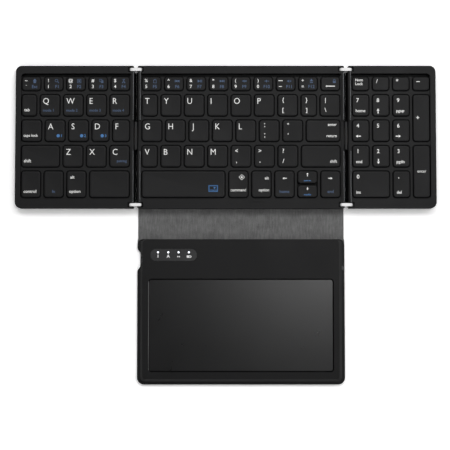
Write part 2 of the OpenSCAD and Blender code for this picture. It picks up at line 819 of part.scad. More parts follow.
module touch_sensor_board() {
    color("#1f5135") plate(sensor_z, sensor_t) touch_outline(-ledge_w - fit_clear);
}

// Flat ribbon on the main board, under the sensor board's rear edge
module touch_ribbon() {
    front = touch_front + touch_d - ledge_w - 4;
    translate([-ribbon_w / 2, front, board_z + board_t])
        color("#b8860b") cube([ribbon_w, board_front + 3 - front, flex_t]);
}

// Magnets in front of the touch surface that hold the module to the folded panels
module closing_magnets() {
    y = (frame_front + pad_wall + touch_front) / 2 - 0.6;
    color("#c9cacc") for (x = [-frame_inside / 2, frame_inside / 2])
        translate([x - magnet_l / 2, y - magnet_w / 2, pad_inside_z]) cube([magnet_l, magnet_w, magnet_t]);
}

module battery() {
    y0 = touch_front + battery_margin;
    y1 = touch_front + touch_d - battery_margin;
    color("#6f7478") plate(pad_inside_z, battery_t)
        outline([-battery_w / 2, y0], [battery_w / 2, y1], [2, 2, 2, 2]);
}

// Circuit board with its chips, the lights under the window and the body of the power switch
module main_board() {
    x0 = -frame_inside + 0.7;
    x1 = frame_inside - 2.2;
    top = board_z + board_t;
    color("#1f5135") difference() {
        translate([x0, board_front, board_z]) cube([x1 - x0, board_rear - board_front, board_t]);
        translate([x0 - 1, socket_y - socket_w / 2 - fit_clear, 0])
            cube([socket_x + socket_l + fit_clear - x0 + 1, socket_w + 2 * fit_clear, pad_h]);
    }
    color("#202022") {
        translate([-chip_l / 2, board_front + board_d / 3, top - eps]) cube([chip_l, chip_l, 0.9]);
        translate([2 * chip_l, board_front + board_d / 3, top - eps])
            cube([chip_l * 2 / 3, chip_l / 2, 0.8]);
        translate([x1 - knob_l, knob_y - knob_travel / 2 - 1.5 * knob_l, top - eps])
            cube([knob_l, 3 * knob_l, 0.9]);
    }
    color("white") for (i = [0:3])
        translate([light_x(i) - 0.6, light_y - 0.4, top - eps]) cube([1.2, 0.8, 0.6]);
}

// Socket shell with a closed rear wall and the contact tongue inside
module usb_c_port() {
    color("#c9cacc") difference() {
        at_socket(socket_x, socket_l) socket_outline(0);
        at_socket(socket_x - 1, socket_l - 0.1) socket_outline(-socket_wall);
    }
    color("#1b1b1c") at_socket(socket_x + 1.2, socket_l - 1.7) square([6.7, 0.7], center = true);
}

module indicator_window() {
    color("#111112") plate(pad_h - window_t, window_t) window_outline(0);
}

// Knob that slides along the module's right side
module power_knob() {
    foot_l = knob_l + 2 * knob_travel + 0.4;
    color("#3a3a3b") translate([0, knob_y, knob_z]) {
        translate([frame_inside - 0.5, -knob_l / 2, -knob_h / 2])
            cube([frame_half + knob_out - frame_inside + 0.5, knob_l, knob_h]);
        translate([frame_inside - 1, -foot_l / 2, -knob_h / 2]) cube([0.9, foot_l, knob_h]);
    }
}

cover_back();
cover_spine();
bottom_cover(centre_panel);  // centre_bottom_cover
centre_top_case();
support_plate(centre_panel);  // centre_support_plate
membrane(centre_panel);  // centre_membrane
key_switches(centre_keys);  // centre_key_switches
feet(left_panel);  // left_feet
bottom_cover(left_panel);  // left_bottom_cover
top_case(left_panel, left_keys);  // left_top_case
support_plate(left_panel);  // left_support_plate
membrane(left_panel);  // left_membrane
key_switches(left_keys);  // left_key_switches
feet(right_panel);  // right_feet
bottom_cover(right_panel);  // right_bottom_cover
top_case(right_panel, right_keys);  // right_top_case
support_plate(right_panel);  // right_support_plate
membrane(right_panel);  // right_membrane
key_switches(right_keys);  // right_key_switches
hinge_links(left_gap_x);  // left_hinge_links
hinge_pins(left_gap_x);  // left_hinge_pins
cable_guard(left_gap_x);  // left_cable_guard
flex_cable(left_gap_x);  // left_flex_cable
hinge_links(right_gap_x);  // right_hinge_links
hinge_pins(right_gap_x);  // right_hinge_pins
cable_guard(right_gap_x);  // right_cable_guard
flex_cable(right_gap_x);  // right_flex_cable
pad_cover();
pad_bottom_shell();
pad_top_frame();
touch_surface();
touch_sensor_board();
touch_ribbon();
battery();
main_board();
usb_c_port();
indicator_window();
closing_magnets();
power_knob();
keycaps(left_1);  // left_number_keys
keycaps(part(left_2, 1, 4));  // left_qwer_keys
keycaps(part(left_3, 1, 4));  // left_asdf_keys
keycaps(part(left_4, 1, 3));  // left_zxc_keys
keycaps([left_2[0], left_3[0]]);  // left_tab_caps_keys
keycaps(part(left_5, 0, 2));  // left_bottom_keys
keycap(left_4[0]);  // left_shift_key
keycap(left_5[3]);  // left_space_key
keycaps(centre_1);  // centre_number_keys
keycaps(centre_2);  // centre_upper_keys
keycaps(part(centre_3, 0, 6));  // centre_home_keys
keycaps(part(centre_4, 0, 6));  // centre_lower_keys
keycap(centre_3[7]);  // enter_key
keycap(centre_4[7]);  // right_shift_key
keycap(centre_5[0]);  // right_space_key
keycaps(part(centre_5, 1, 2));  // command_option_keys
keycaps(arrows);  // arrow_keys
keycaps(numpad[0]);  // numpad_top_keys
keycaps(numpad_digits);  // numpad_digit_keys
keycap(numpad_plus);  // numpad_plus_key
keycap(numpad_enter);  // numpad_enter_key
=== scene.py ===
import bpy, bmesh, json, math
from mathutils import Matrix, Vector


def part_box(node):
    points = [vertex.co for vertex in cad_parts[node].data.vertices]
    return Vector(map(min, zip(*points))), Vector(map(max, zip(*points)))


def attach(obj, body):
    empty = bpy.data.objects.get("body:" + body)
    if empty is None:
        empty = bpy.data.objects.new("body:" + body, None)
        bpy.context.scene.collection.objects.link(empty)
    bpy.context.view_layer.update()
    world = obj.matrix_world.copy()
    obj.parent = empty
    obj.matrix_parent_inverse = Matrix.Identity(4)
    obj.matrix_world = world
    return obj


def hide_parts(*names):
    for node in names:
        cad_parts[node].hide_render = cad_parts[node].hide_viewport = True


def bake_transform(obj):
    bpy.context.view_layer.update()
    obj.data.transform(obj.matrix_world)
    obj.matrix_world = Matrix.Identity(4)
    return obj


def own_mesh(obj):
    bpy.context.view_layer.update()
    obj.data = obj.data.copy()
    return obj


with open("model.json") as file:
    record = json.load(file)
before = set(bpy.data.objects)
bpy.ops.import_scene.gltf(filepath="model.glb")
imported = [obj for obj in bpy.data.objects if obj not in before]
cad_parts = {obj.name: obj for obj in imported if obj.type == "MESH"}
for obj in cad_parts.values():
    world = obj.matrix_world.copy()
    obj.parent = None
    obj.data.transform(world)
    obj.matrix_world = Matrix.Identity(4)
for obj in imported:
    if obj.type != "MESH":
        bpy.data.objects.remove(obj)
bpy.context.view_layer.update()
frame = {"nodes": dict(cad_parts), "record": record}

mm = 0.001
weldGap = 0.002 * mm  # corners nearer than this are one point
creaseAngle = 40  # degrees; sharper turns stay crisp
scene = bpy.context.scene
scene.view_settings.view_transform = "Standard"


# Shared helpers

def linear(code):
    # written colours are sRGB, shaders work in linear light
    parts = [int(code[i:i + 2], 16) / 255 for i in (1, 3, 5)]
    return [c / 12.92 if c <= 0.04045 else ((c + 0.055) / 1.055) ** 2.4 for c in parts] + [1]


def setInputs(tree, node, inputs):
    # another node's output is linked, anything else becomes the input's own value
    for name, value in inputs.items():
        if isinstance(value, bpy.types.NodeSocket):
            tree.links.new(value, node.inputs[name])
        else:
            node.inputs[name].default_value = value


def addNode(tree, kind, inputs=None, stops=(), **settings):
    # stops are the places and colours of a colour ramp
    node = tree.nodes.new("ShaderNode" + kind)
    for name, value in settings.items():
        setattr(node, name, value)
    setInputs(tree, node, inputs or {})
    if stops:
        elements = node.color_ramp.elements
        while len(elements) < len(stops):
            elements.new(0.5)
        for element, (place, colour) in zip(elements, stops):
            element.position = place
            element.color = linear(colour)
    return node


def newMaterial(name):
    material = bpy.data.materials.new(name)
    material.use_nodes = True
    return material, material.node_tree, material.node_tree.nodes["Principled BSDF"]


def newPiece(name, bm, body, material):
    mesh = bpy.data.meshes.new(name)
    bm.to_mesh(mesh)
    bm.free()
    piece = bpy.data.objects.new(name, mesh)
    scene.collection.objects.link(piece)
    for m in material if isinstance(material, list) else [material]:
        mesh.materials.append(m)
    if body:
        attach(piece, body)
    return piece


def smoothByAngle(mesh, degrees):
    # keeps flat faces crisp and rounds the rest
    mesh.shade_smooth()
    mesh.set_sharp_from_angle(angle=math.radians(degrees))


def thicken(bm, rise):
    # turns a flat sheet into a closed slab
    made = bmesh.ops.extrude_face_region(bm, geom=list(bm.faces), use_keep_orig=True)["geom"]
    bmesh.ops.translate(bm, vec=(0, 0, rise), verts=[v for v in made if isinstance(v, bmesh.types.BMVert)])
    bmesh.ops.recalc_face_normals(bm, faces=bm.faces)


# Studio: pale floor, plain lights and the camera at the photograph's angle

studio = {
    "floorSize": 6.0, "floorColour": "#e6e6e6", "floorSeen": 1.36, "fadeFrom": 0.30, "fadeTo": 0.55,
    "worldLight": 0.24, "worldMirrored": 0.05, "horizonFrom": 0.03, "horizonTo": 0.12,
    "lamps": {
        "rearSoftbox": {"at": (0.05, 0.70, 1.20), "wide": 1.8, "deep": 0.6, "watts": 11.0},
        "overheadLamp": {"at": (0.17, 0.015, 1.10), "wide": 0.22, "deep": 0.22, "watts": 1.4},
        "rightSoftbox": {"at": (1.05, 0.10, 0.55), "wide": 0.7, "deep": 0.35, "watts": 2.1},
        "frontSoftbox": {"at": (-0.20, -1.15, 1.00), "wide": 1.4, "deep": 0.6, "watts": 4.0},
    },
    "aim": (0, -0.04, 0),
}

# where the floor is seen or mirrored it is white; it lights the object with its own pale grey
floorMaterial, tree, shader = newMaterial("paleSeamlessFloor_matte")
tree.nodes.remove(shader)
rays = addNode(tree, "LightPath")
seen = addNode(tree, "Math", {0: rays.outputs["Is Camera Ray"], 1: rays.outputs["Is Glossy Ray"]},
               operation="MAXIMUM")
seen = addNode(tree, "Math", {0: seen.outputs[0], 1: rays.outputs["Is Transmission Ray"]}, operation="MAXIMUM")
tone = addNode(tree, "Mix", {0: seen.outputs[0], 6: linear(studio["floorColour"]),
                             7: [studio["floorSeen"]] * 3 + [1]}, data_type="RGBA")
matte = addNode(tree, "BsdfDiffuse", {"Color": tone.outputs[2]})
# far from the object the camera sees the floor run out into the white backdrop
spot = addNode(tree, "TexCoord")
away = addNode(tree, "VectorMath", {0: spot.outputs["Object"]}, operation="LENGTH")
fade = addNode(tree, "MapRange", {"Value": away.outputs["Value"], "From Min": studio["fadeFrom"],
                                  "From Max": studio["fadeTo"]})
fade = addNode(tree, "Math", {0: fade.outputs[0], 1: rays.outputs["Is Camera Ray"]}, operation="MULTIPLY")
backdrop = addNode(tree, "Emission")
blended = addNode(tree, "MixShader", {0: fade.outputs[0], 1: matte.outputs[0], 2: backdrop.outputs[0]})
tree.links.new(blended.outputs[0], tree.nodes["Material Output"].inputs[0])

bm = bmesh.new()
bmesh.ops.create_grid(bm, x_segments=1, y_segments=1, size=studio["floorSize"] / 2)
floor = newPiece("floor", bm, None, floorMaterial)

# the world is white where the camera sees it, and dim in mirrors above a bright horizon
world = bpy.data.worlds.new("studio")
scene.world = world
world.use_nodes = True
tree = world.node_tree
rays = addNode(tree, "LightPath")
direction = addNode(tree, "TexCoord")
height = addNode(tree, "SeparateXYZ", {0: direction.outputs["Generated"]})
horizon = addNode(tree, "MapRange", {"Value": height.outputs[2], "From Min": studio["horizonFrom"],
                                     "From Max": studio["horizonTo"], "To Min": 1.0,
                                     "To Max": studio["worldMirrored"]})
mirrored = addNode(tree, "Math", {0: rays.outputs["Is Glossy Ray"], 1: rays.outputs["Is Transmission Ray"]},
                   operation="MAXIMUM")
lit = addNode(tree, "Mix", {0: mirrored.outputs[0], 2: studio["worldLight"], 3: horizon.outputs[0]},
              data_type="FLOAT")
strength = addNode(tree, "Math", {0: rays.outputs["Is Camera Ray"], 1: lit.outputs[0]}, operation="MAXIMUM")
setInputs(tree, tree.nodes["Background"], {"Strength": strength.outputs[0], "Color": linear("#ffffff")})

for name, lamp in studio["lamps"].items():
    data = bpy.data.lights.new(name, "AREA")
    data.energy = lamp["watts"]
    data.shape = "RECTANGLE"
    data.size, data.size_y = lamp["wide"], lamp["deep"]
    light = bpy.data.objects.new(name, data)
    scene.collection.objects.link(light)
    light.location = lamp["at"]
    light.rotation_euler = (Vector(studio["aim"]) - light.location).to_track_quat("-Z", "Y").to_euler()

view = {"aimX": -11.504 * mm, "aimY": -63.323 * mm, "tilt": 3.231, "distance": 0.9, "focalPixels": 1242.19,
        "frame": 450, "sensor": 36, "clipEnd": 20}
cameraData = bpy.data.cameras.new("photoCamera")
cameraData.sensor_width = view["sensor"]
cameraData.lens = view["focalPixels"] / view["frame"] * view["sensor"]
cameraData.clip_end = view["clipEnd"]
camera = bpy.data.objects.new("photoCamera", cameraData)
scene.collection.objects.link(camera)
tilt = math.radians(view["tilt"])
toCamera = Vector((0, -math.sin(tilt), math.cos(tilt)))
camera.location = Vector((view["aimX"], view["aimY"], 0)) + toCamera * view["distance"]
camera.rotation_euler = (tilt, 0, 0)
scene.camera = camera
print("stage: studio and camera")


# Finishes, named for the real materials

def objectPlace(tree, scale=(1, 1, 1)):
    # object coordinates are metres; here one unit of a pattern is a millimetre
    place = addNode(tree, "TexCoord")
    scale = [s / mm for s in scale]
    return addNode(tree, "Mapping", {"Vector": place.outputs["Object"], "Scale": scale}).outputs[0]


def mouldedPlastic(name, base, light, grain, roughness, bump, specular=0.5, uneven=0.06):
    # moulded plastic: a fine spark-eroded grain, faint cloudy tone and a roughness that wanders with handling
    material, tree, shader = newMaterial(name)
    place = objectPlace(tree)
    clouds = addNode(tree, "TexNoise", {"Vector": place, "Scale": 0.045, "Detail": 5, "Roughness": 0.6})
    texture = addNode(tree, "TexNoise", {"Vector": place, "Scale": grain, "Detail": 3, "Roughness": 0.55})
    speckle = addNode(tree, "TexVoronoi", {"Vector": place, "Scale": grain * 0.7})
    tone = addNode(tree, "Math", {0: clouds.outputs["Fac"], 1: texture.outputs["Fac"]}, operation="ADD")
    tone = addNode(tree, "Math", {0: tone.outputs[0], 1: 0.5}, operation="MULTIPLY")
    colour = addNode(tree, "ValToRGB", {"Fac": tone.outputs[0]}, [(0.32, base), (0.68, light)])
    rub = addNode(tree, "MapRange", {"Value": clouds.outputs["Fac"], "From Min": 0.3, "From Max": 0.7,
                                     "To Min": roughness - uneven, "To Max": roughness + uneven})
    relief = addNode(tree, "Math", {0: texture.outputs["Fac"], 1: speckle.outputs["Distance"]}, operation="ADD")
    bumped = addNode(tree, "Bump", {"Height": relief.outputs[0], "Strength": bump, "Distance": 0.03 * mm})
    setInputs(tree, shader, {"Base Color": colour.outputs["Color"], "Roughness": rub.outputs[0],
                             "Normal": bumped.outputs[0], "Specular IOR Level": specular})
    return material


# dark and light tone, grain in spots per millimetre, roughness, bump strength, specular level
absCase = mouldedPlastic("absPlastic_moulded_caseBlack", "#121213", "#161617", 5.0, 0.50, 0.5, 0.22)
keyPlastic = mouldedPlastic("absPlastic_softTouchCoated_keycap", "#121213", "#171718", 7.0, 0.50, 0.35, 0.22)
moduleCase = mouldedPlastic("absPlastic_moulded_moduleBlack", "#0f0f10", "#131314", 5.0, 0.48, 0.45, 0.21)
guardRubber = mouldedPlastic("elastomer_moulded_cableGuard", "#1a1a1b", "#202021", 4.0, 0.6, 0.3)
footRubber = mouldedPlastic("siliconeRubber_moulded_foot", "#1b1b1c", "#232324", 3.0, 0.72, 0.5)
scissorPlastic = mouldedPlastic("acetal_moulded_scissor", "#c4c4c0", "#d6d6d2", 6.0, 0.4, 0.2)
trimPlastic = mouldedPlastic("polycarbonate_polished_touchTrim", "#080809", "#0b0b0c", 5.0, 0.17, 0.03, 0.36)
knobPlastic = mouldedPlastic("absPlastic_moulded_switchKnob", "#2c2c2d", "#343435", 5.0, 0.45, 0.3)
windowPlastic = mouldedPlastic("polycarbonate_smokedAndSpeckled_window", "#151516", "#323233", 2.2, 0.35, 0.15, 0.4)
# near-black foam laid in the hinge gaps, round the link pockets and round the touch surface: painted shade for the
# shadow in these gaps and seams
paintedShadeFoam = mouldedPlastic("blackFoam_paintedShadeInGaps", "#030303", "#060606", 3.0, 0.9, 0.4, 0.05)
# hinge links in plain white so that they read bright along their whole length: painted highlight for the metal link's
# reflection
paintedHighlightLinkWhite = mouldedPlastic("hingeLink_white_paintedHighlight", "#ececec", "#f8f8f8", 4.0, 0.38, 0.25)


def rolledMetal(name, base, light, roughness, stretch, bump, uneven=0.07):
    # drawn or rolled metal: long fine lines and slightly uneven polish
    material, tree, shader = newMaterial(name)
    lines = addNode(tree, "TexNoise", {"Vector": objectPlace(tree, stretch), "Scale": 3.0, "Detail": 4,
                                       "Roughness": 0.7})
    wear = addNode(tree, "TexNoise", {"Vector": objectPlace(tree), "Scale": 0.6, "Detail": 3})
    colour = addNode(tree, "ValToRGB", {"Fac": lines.outputs["Fac"]}, [(0.3, base), (0.7, light)])
    rub = addNode(tree, "MapRange", {"Value": wear.outputs["Fac"], "From Min": 0.3, "From Max": 0.7,
                                     "To Min": roughness - uneven, "To Max": roughness + uneven})
    bumped = addNode(tree, "Bump", {"Height": lines.outputs["Fac"], "Strength": bump, "Distance": 0.01 * mm})
    setInputs(tree, shader, {"Base Color": colour.outputs["Color"], "Roughness": rub.outputs[0],
                             "Normal": bumped.outputs[0], "Metallic": 1})
    return material


# dark and light tone, roughness, density of the lines along x, y and z, bump strength
pinMetal = rolledMetal("steel_blackOxide_pin", "#161617", "#222224", 0.4, (6, 0.4, 6), 0.2)
# bright metal for the beads laid where the hinge lips' highlight lines fall: painted highlight
highlightBeadMetal = rolledMetal("steel_hingeBead_paintedHighlight", "#66686a", "#86888a", 0.34, (6, 0.3, 6), 0.2)
plateMetal = rolledMetal("stainlessSteel_coldRolled_plate", "#7f8183", "#939597", 0.4, (0.3, 4, 4), 0.3)
magnetMetal = rolledMetal("neodymium_nickelPlated_magnet", "#b5b6b8", "#cbcccd", 0.25, (2, 2, 2), 0.15)
socketMetal = rolledMetal("steel_nickelPlated_socket", "#a8aaac", "#c0c2c4", 0.32, (5, 0.6, 5), 0.2)


def filmOrBoard(name, base, light, track, roughness, density):
    # printed film and circuit board: copper tracks show through as fine bands of another tone
    material, tree, shader = newMaterial(name)
    place = objectPlace(tree)
    wander = addNode(tree, "TexNoise", {"Vector": place, "Scale": 0.5, "Detail": 2})
    tracks = addNode(tree, "TexWave", {"Vector": place, "Scale": density, "Distortion": 2.0, "Detail": 1},
                     wave_type="BANDS", bands_direction="X")
    ground = addNode(tree, "ValToRGB", {"Fac": wander.outputs["Fac"]}, [(0.3, base), (0.7, light)])
    mask = addNode(tree, "MapRange", {"Value": tracks.outputs["Fac"], "From Min": 0.80, "From Max": 0.86,
                                      "To Min": 0, "To Max": 0.6})
    mixed = addNode(tree, "Mix", {0: mask.outputs[0], 6: ground.outputs["Color"], 7: linear(track)},
                    data_type="RGBA")
    bumped = addNode(tree, "Bump", {"Height": tracks.outputs["Fac"], "Strength": 0.2, "Distance": 0.02 * mm})
    setInputs(tree, shader, {"Base Color": mixed.outputs[2], "Roughness": roughness, "Normal": bumped.outputs[0]})
    return material


# dark and light tone, colour of the tracks, roughness, density of the tracks
flexFilm = filmOrBoard("polyimide_laminated_flexCable", "#2a2420", "#352c24", "#5a4328", 0.35, 1.2)
# membrane under the keys made near-black so that the gaps round the keys read black: painted shade in the gaps
paintedShadeMembrane = filmOrBoard("polyester_membrane_black_paintedShade", "#050506", "#080809", "#101112", 0.7, 0.5)
boardLaminate = filmOrBoard("glassEpoxy_etched_circuitBoard", "#16402a", "#1f5135", "#2f6b47", 0.4, 0.9)
batteryFoil = filmOrBoard("aluminiumLaminate_pouch_battery", "#6a6f73", "#83878b", "#94989b", 0.35, 0.15)


def printedInk(name, colour, worn):
    # pad-printed legend: almost even, with faint pinholes where the ink is thin
    material, tree, shader = newMaterial(name)
    patches = addNode(tree, "TexNoise", {"Vector": objectPlace(tree), "Scale": 4.0, "Detail": 3})
    tone = addNode(tree, "ValToRGB", {"Fac": patches.outputs["Fac"]}, [(0.30, worn), (0.5, colour)])
    bumped = addNode(tree, "Bump", {"Height": patches.outputs["Fac"], "Strength": 0.2, "Distance": 0.005 * mm})
    setInputs(tree, shader, {"Base Color": tone.outputs["Color"], "Roughness": 0.5, "Normal": bumped.outputs[0]})
    return material


whiteInk = printedInk("ink_padPrinted_white", "#fbfbf9", "#e8e8e6")
blueInk = printedInk("ink_padPrinted_blue", "#3f78b2", "#3668a0")
dimInk = printedInk("ink_padPrinted_slateBlue", "#41587a", "#384c68")
greyInk = printedInk("ink_screenPrinted_windowWhite", "#f0f0f0", "#d4d4d4")

weave = {"threadPitch": 0.45, "streakStretch": 0.16, "streakPart": 0.42, "cloudPart": 0.26, "threadPart": 0.34,
         "dark": "#373737", "mid": "#585858", "light": "#7f7f7f", "roughness": 0.85, "sheen": 0.12}


def wovenCloth(name):
    # coated cover cloth: a fine plain weave under short uneven streaks that run from front to rear
    material, tree, shader = newMaterial(name)
    uv = addNode(tree, "UVMap", uv_map="flatCloth").outputs[0]
    place = addNode(tree, "Mapping", {"Vector": uv, "Scale": (1 / mm, 1 / mm, 1)}).outputs[0]
    long = addNode(tree, "Mapping", {"Vector": uv, "Scale": (1 / mm, weave["streakStretch"] / mm, 1)})
    threads = {}
    for run in "XY":
        # bands at a scale of 1 repeat every 0.314 units, so this sets the threads a pitch apart
        thread = {"Vector": place, "Scale": 0.314 / weave["threadPitch"], "Distortion": 0.8, "Detail": 2}
        threads[run] = addNode(tree, "TexWave", thread, wave_type="BANDS", bands_direction=run)
    cross = addNode(tree, "Math", {0: threads["X"].outputs["Fac"], 1: threads["Y"].outputs["Fac"]},
                    operation="MULTIPLY")
    streaks = addNode(tree, "TexNoise", {"Vector": long.outputs[0], "Scale": 0.9, "Detail": 5, "Roughness": 0.7})
    clouds = addNode(tree, "TexNoise", {"Vector": place, "Scale": 0.12, "Detail": 4, "Roughness": 0.6})
    tone = addNode(tree, "Math", {0: streaks.outputs["Fac"], 1: weave["streakPart"]}, operation="MULTIPLY")
    tone = addNode(tree, "Math", {0: clouds.outputs["Fac"], 1: weave["cloudPart"], 2: tone.outputs[0]},
                   operation="MULTIPLY_ADD")
    tone = addNode(tree, "Math", {0: cross.outputs[0], 1: weave["threadPart"], 2: tone.outputs[0]},
                   operation="MULTIPLY_ADD")
    colour = addNode(tree, "ValToRGB", {"Fac": tone.outputs[0]},
                     [(0.18, weave["dark"]), (0.36, weave["mid"]), (0.56, weave["light"])])
    relief = addNode(tree, "Math", {0: streaks.outputs["Fac"], 1: 0.4, 2: cross.outputs[0]},
                     operation="MULTIPLY_ADD")
    bumped = addNode(tree, "Bump", {"Height": relief.outputs[0], "Strength": 0.5, "Distance": 0.06 * mm})
    setInputs(tree, shader, {"Base Color": colour.outputs["Color"], "Roughness": weave["roughness"],
                             "Normal": bumped.outputs[0], "Specular IOR Level": 0.2,
                             "Sheen Weight": weave["sheen"], "Sheen Roughness": 0.5})
    return material


coverCloth = wovenCloth("polyurethaneCoatedFabric_woven_cover")


def satinGlass(name, base, light, roughness, uneven):
    # painted glass, etched for a satin touch: even tone, with finger-rubbed patches that only gloss shows
    material, tree, shader = newMaterial(name)
    place = objectPlace(tree)
    smears = addNode(tree, "TexNoise", {"Vector": place, "Scale": 0.05, "Detail": 6, "Roughness": 0.65,
                                        "Distortion": 0.6})
    etch = addNode(tree, "TexNoise", {"Vector": place, "Scale": 9.0, "Detail": 2})
    colour = addNode(tree, "ValToRGB", {"Fac": smears.outputs["Fac"]}, [(0.35, base), (0.65, light)])
    rub = addNode(tree, "MapRange", {"Value": smears.outputs["Fac"], "From Min": 0.3, "From Max": 0.7,
                                     "To Min": roughness - uneven, "To Max": roughness + uneven})
    bumped = addNode(tree, "Bump", {"Height": etch.outputs["Fac"], "Strength": 0.12, "Distance": 0.01 * mm})
    setInputs(tree, shader, {"Base Color": colour.outputs["Color"], "Roughness": rub.outputs[0],
                             "Normal": bumped.outputs[0], "Specular IOR Level": 0.5})
    return material


touchGlass = satinGlass("glass_etchedAndPainted_touchPlate", "#09090a", "#0b0b0c", 0.285, 0.012)

# light pipes: milky diffusing plastic that glows faintly from behind
ledLens, tree, shader = newMaterial("polycarbonate_diffusing_lightPipe")
clouds = addNode(tree, "TexNoise", {"Vector": objectPlace(tree), "Scale": 2.0})
colour = addNode(tree, "ValToRGB", {"Fac": clouds.outputs["Fac"]}, [(0.3, "#f2f6fb"), (0.7, "#ffffff")])
setInputs(tree, shader, {"Base Color": colour.outputs["Color"], "Emission Color": linear("#eef4ff"),
                         "Emission Strength": 0.9})
print("stage: finishes")


# CAD nodes keep their shapes: each gets its finish, and the visible ones softened edges

nodeFinish = {
    "pad_bottom_shell": moduleCase, "pad_top_frame": moduleCase, "touch_surface": touchGlass,
    "touch_sensor_board": boardLaminate, "touch_ribbon": flexFilm, "battery": batteryFoil,
    "main_board": boardLaminate, "usb_c_port": socketMetal, "indicator_window": windowPlastic,
    "closing_magnets": magnetMetal, "power_knob": knobPlastic,
}
edgeSoftening = {  # width of the rounded edges in mm
    "pad_bottom_shell": 0.25, "pad_top_frame": 0.3, "touch_surface": 0.12, "indicator_window": 0.08, "power_knob": 0.12,
}
for part in ("left_", "centre_", "right_"):
    nodeFinish.update({part + "top_case": absCase, part + "bottom_cover": absCase, part + "support_plate": plateMetal,
                       part + "membrane": paintedShadeMembrane, part + "key_switches": scissorPlastic})
    edgeSoftening.update({part + "top_case": 0.3, part + "bottom_cover": 0.2})
for part in ("left_", "right_"):
    nodeFinish.update({part + "feet": footRubber, part + "hinge_links": paintedHighlightLinkWhite, part + "hinge_pins": pinMetal,
                       part + "cable_guard": guardRubber})
    edgeSoftening.update({part + "feet": 0.15, part + "hinge_links": 0.2, part + "cable_guard": 0.15})
for name, finish in nodeFinish.items():
    node = frame["nodes"][name]
    node.data.materials.clear()
    node.data.materials.append(finish)
    if name in edgeSoftening:
        weld = node.modifiers.new("joinFaces", "WELD")
        weld.merge_threshold = weldGap
        soft = node.modifiers.new("softEdges", "BEVEL")
        soft.width = edgeSoftening[name] * mm
        soft.segments = 2
        soft.limit_method = "ANGLE"
        soft.angle_limit = math.radians(creaseAngle)
        soft.harden_normals = True
print("stage: cad finishes")


# Keycaps: one box per key is read from the CAD node, and a rounded, slightly dished cap is made in it

def solidBoxes(name):
    # a box is the low corner and then the high corner of one loose solid; boxes run from rear left to front right
    bm = bmesh.new()
    bm.from_mesh(frame["nodes"][name].data)
    bmesh.ops.remove_doubles(bm, verts=bm.verts, dist=weldGap)
    left = set(bm.verts)
    boxes = []
    while left:
        group, edge = [], [left.pop()]
        while edge:
            v = edge.pop()
            group.append(v.co.copy())
            for e in v.link_edges:
                other = e.other_vert(v)
                if other in left:
                    left.remove(other)
                    edge.append(other)
        boxes.append([min(c[i] for c in group) for i in range(3)] + [max(c[i] for c in group) for i in range(3)])
    bm.free()
    boxes.sort(key=lambda b: (-round((b[1] + b[4]) / 2 / mm), b[0]))
    return boxes


capShape = {"cornerR": 2.2, "chamfer": 0.52, "chamferDrop": 0.75, "edgeRound": 0.2, "dishInset": 1.1, "dish": 0.10,
            "wall": 0.8, "roof": 0.88, "cornerSteps": 6, "edgeSteps": 2, "smoothAngle": 50}
centred, level = 0.001 * mm, 0.0001 * mm  # how near a point has to be to count as centred, and as at one height


def heightOf(face):
    return face.calc_center_median().z


def acrossCap(bm, box):
    # the rounded faces that lie across the middle of the cap
    x, y = (box[0] + box[3]) / 2, (box[1] + box[4]) / 2
    return [f for f in bm.faces if len(f.verts) > 8 and abs(f.calc_center_median().x - x) < centred
            and abs(f.calc_center_median().y - y) < centred]


def pulled(bm, face, **how):
    # extrudes one face and gives the new face
    made = bmesh.ops.extrude_face_region(bm, geom=[face], **how)["geom"]
    return [f for f in made if isinstance(f, bmesh.types.BMFace)][0]


def keycap(bm, box):
    s = capShape
    high = box[5] - box[2]
    made = bmesh.ops.create_grid(bm, x_segments=1, y_segments=1, size=0.5)["verts"]
    bmesh.ops.scale(bm, vec=(box[3] - box[0], box[4] - box[1], 1), verts=made)
    bmesh.ops.translate(bm, vec=((box[0] + box[3]) / 2, (box[1] + box[4]) / 2, box[2]), verts=made)
    bmesh.ops.bevel(bm, geom=made, offset=s["cornerR"] * mm, offset_type="OFFSET", segments=s["cornerSteps"],
                    profile=0.5, affect="VERTICES", material=-1)
    top = pulled(bm, acrossCap(bm, box)[0], use_keep_orig=True)
    bmesh.ops.translate(bm, vec=(0, 0, high - s["chamferDrop"] * mm), verts=top.verts)
    slope = bmesh.ops.inset_region(bm, faces=[top], thickness=s["chamfer"] * mm, depth=0, use_even_offset=True)["faces"]
    bmesh.ops.translate(bm, vec=(0, 0, s["chamferDrop"] * mm), verts=top.verts)
    shoulderZ = box[2] + high - s["chamferDrop"] * mm
    shoulder = [e for f in slope for e in f.edges if all(v not in top.verts for v in e.verts)]
    shoulder = [e for e in set(shoulder) if all(abs(v.co.z - shoulderZ) < level for v in e.verts)]
    bmesh.ops.bevel(bm, geom=list(top.edges) + shoulder, offset=s["edgeRound"] * mm, offset_type="OFFSET",
                    segments=s["edgeSteps"], profile=0.5, affect="EDGES", material=-1)
    top = max(acrossCap(bm, box), key=heightOf)
    bmesh.ops.inset_region(bm, faces=[top], thickness=s["dishInset"] * mm, depth=0, use_even_offset=True)
    bmesh.ops.translate(bm, vec=(0, 0, -s["dish"] * mm), verts=top.verts)
    # hollow underside, as the moulded cap has
    foot = min(acrossCap(bm, box), key=heightOf)
    bmesh.ops.inset_region(bm, faces=[foot], thickness=s["wall"] * mm, depth=0, use_even_offset=True)
    roof = pulled(bm, foot)
    bmesh.ops.translate(bm, vec=(0, 0, high - s["roof"] * mm), verts=roof.verts)


